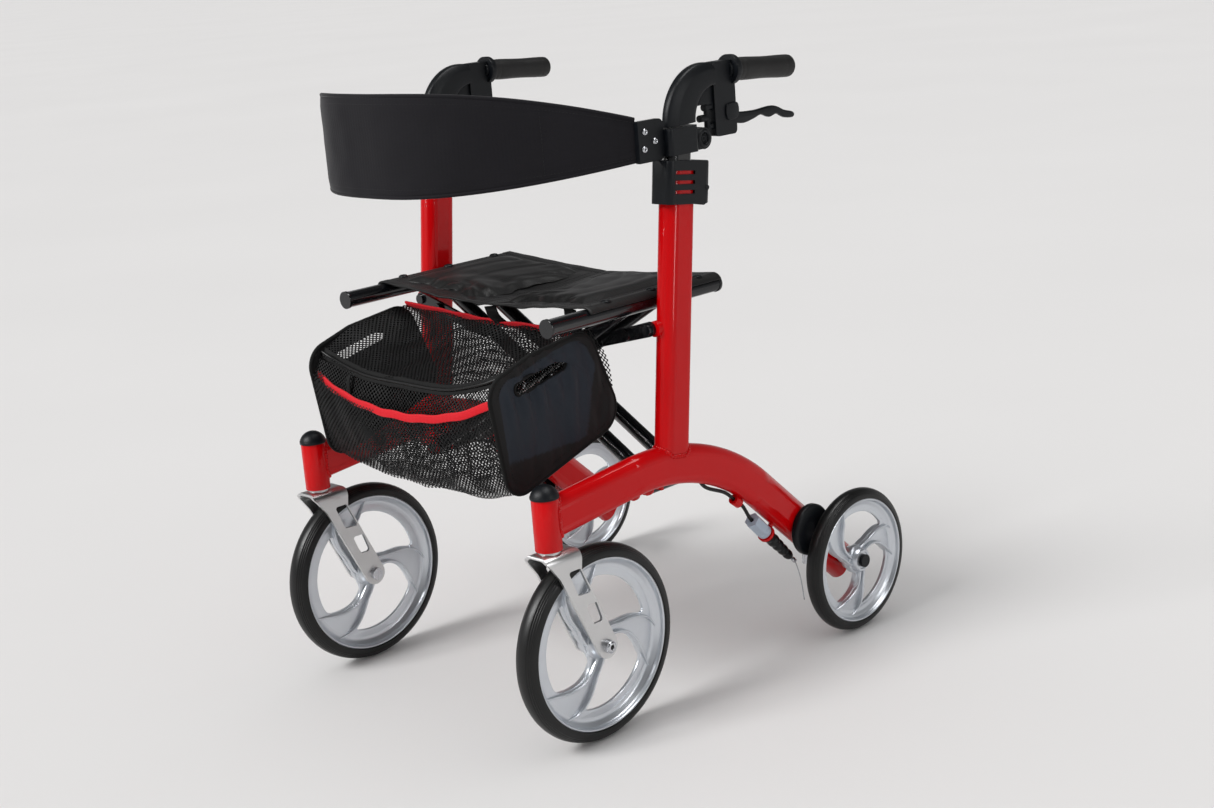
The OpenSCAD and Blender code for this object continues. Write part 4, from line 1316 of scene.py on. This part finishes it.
def camera():
    data = bpy.data.cameras.new("camera")
    data.lens = CAMERA_LENS
    data.sensor_width = 36
    data.clip_start, data.clip_end = 0.05, 1000
    bpy.context.scene.camera = aimed("camera", data, CAMERA_AT, CAMERA_AIM, CAMERA_ROLL)


def floor():
    """A large pale floor with a faint mottle."""
    look = new_look("floor")
    broad = look.noise(look.place(), 0.8, 3.0)
    look.join(look.mixed(broad, (0.72, 0.71, 0.70), (0.76, 0.75, 0.74)),
              look.shader.inputs["Base Color"])
    look.set_levels(rough=0.7, specular=0.1)
    mesh = bpy.data.meshes.new("floor")
    ring = np.pad(circle(FLOOR_R, 96), ((0, 0), (0, 1)), constant_values=-FLOOR_GAP)
    mesh.from_pydata(ring.tolist(), [], [tuple(range(96))])
    mesh.materials.append(M["floor"])
    place_object("floor", mesh)


def softbox(name, at, size, power):
    """A panel of light that shows only as a reflection."""
    data = bpy.data.lights.new(name, "AREA")
    data.shape = "RECTANGLE"
    data.size, data.size_y = size
    data.energy = power
    aimed(name, data, at, LIT_POINT - Vector(at)).visible_diffuse = False


def sun(at, power, spread):
    data = bpy.data.lights.new("sun", "SUN")
    data.energy = power
    data.angle = math.radians(spread)
    aimed("sun", data, at, -Vector(at))


def studio():
    """Even light for the floor, and a darker surround for reflections."""
    world = bpy.data.worlds.new("studio")
    bpy.context.scene.world = world
    sky = Look(world, "Background")
    sky.shader.inputs["Color"].default_value = (0.86, 0.86, 0.87, 1)
    around = sky.add("ShaderNodeTexCoord").outputs["Generated"]
    height = sky.add("ShaderNodeSeparateXYZ", [(around, "Vector")]).outputs["Z"]
    ray = sky.add("ShaderNodeLightPath").outputs
    wall = sky.add("ShaderNodeMapRange", [(height, "Value")],
                   **{"From Min": 0.05, "From Max": 0.55, "To Min": 0.62, "To Max": 0.05})
    mirrored = sky.add("ShaderNodeMapRange", [(ray["Is Glossy Ray"], "Value"),
                                              (wall.outputs["Result"], "To Max")],
                       **{"To Min": 0.76})
    seen = sky.add("ShaderNodeMapRange", [(ray["Is Camera Ray"], "Value"),
                                          (mirrored.outputs["Result"], "To Min")],
                   **{"To Max": 0.86})
    sky.join(seen.outputs["Result"], sky.shader.inputs["Strength"])
    sun((-0.9, -3.4, 3.4), 1.9, 22)
    softbox("key", (-1.6, -3.2, 2.6), (1.4, 1.0), 90)
    softbox("top", (0.6, 0.4, 3.4), (1.8, 1.2), 60)
    softbox("side", (3.6, 0.5, 1.9), (0.5, 1.6), 22)
    bpy.context.scene.view_settings.view_transform = "Standard"


camera()
floor()
studio()
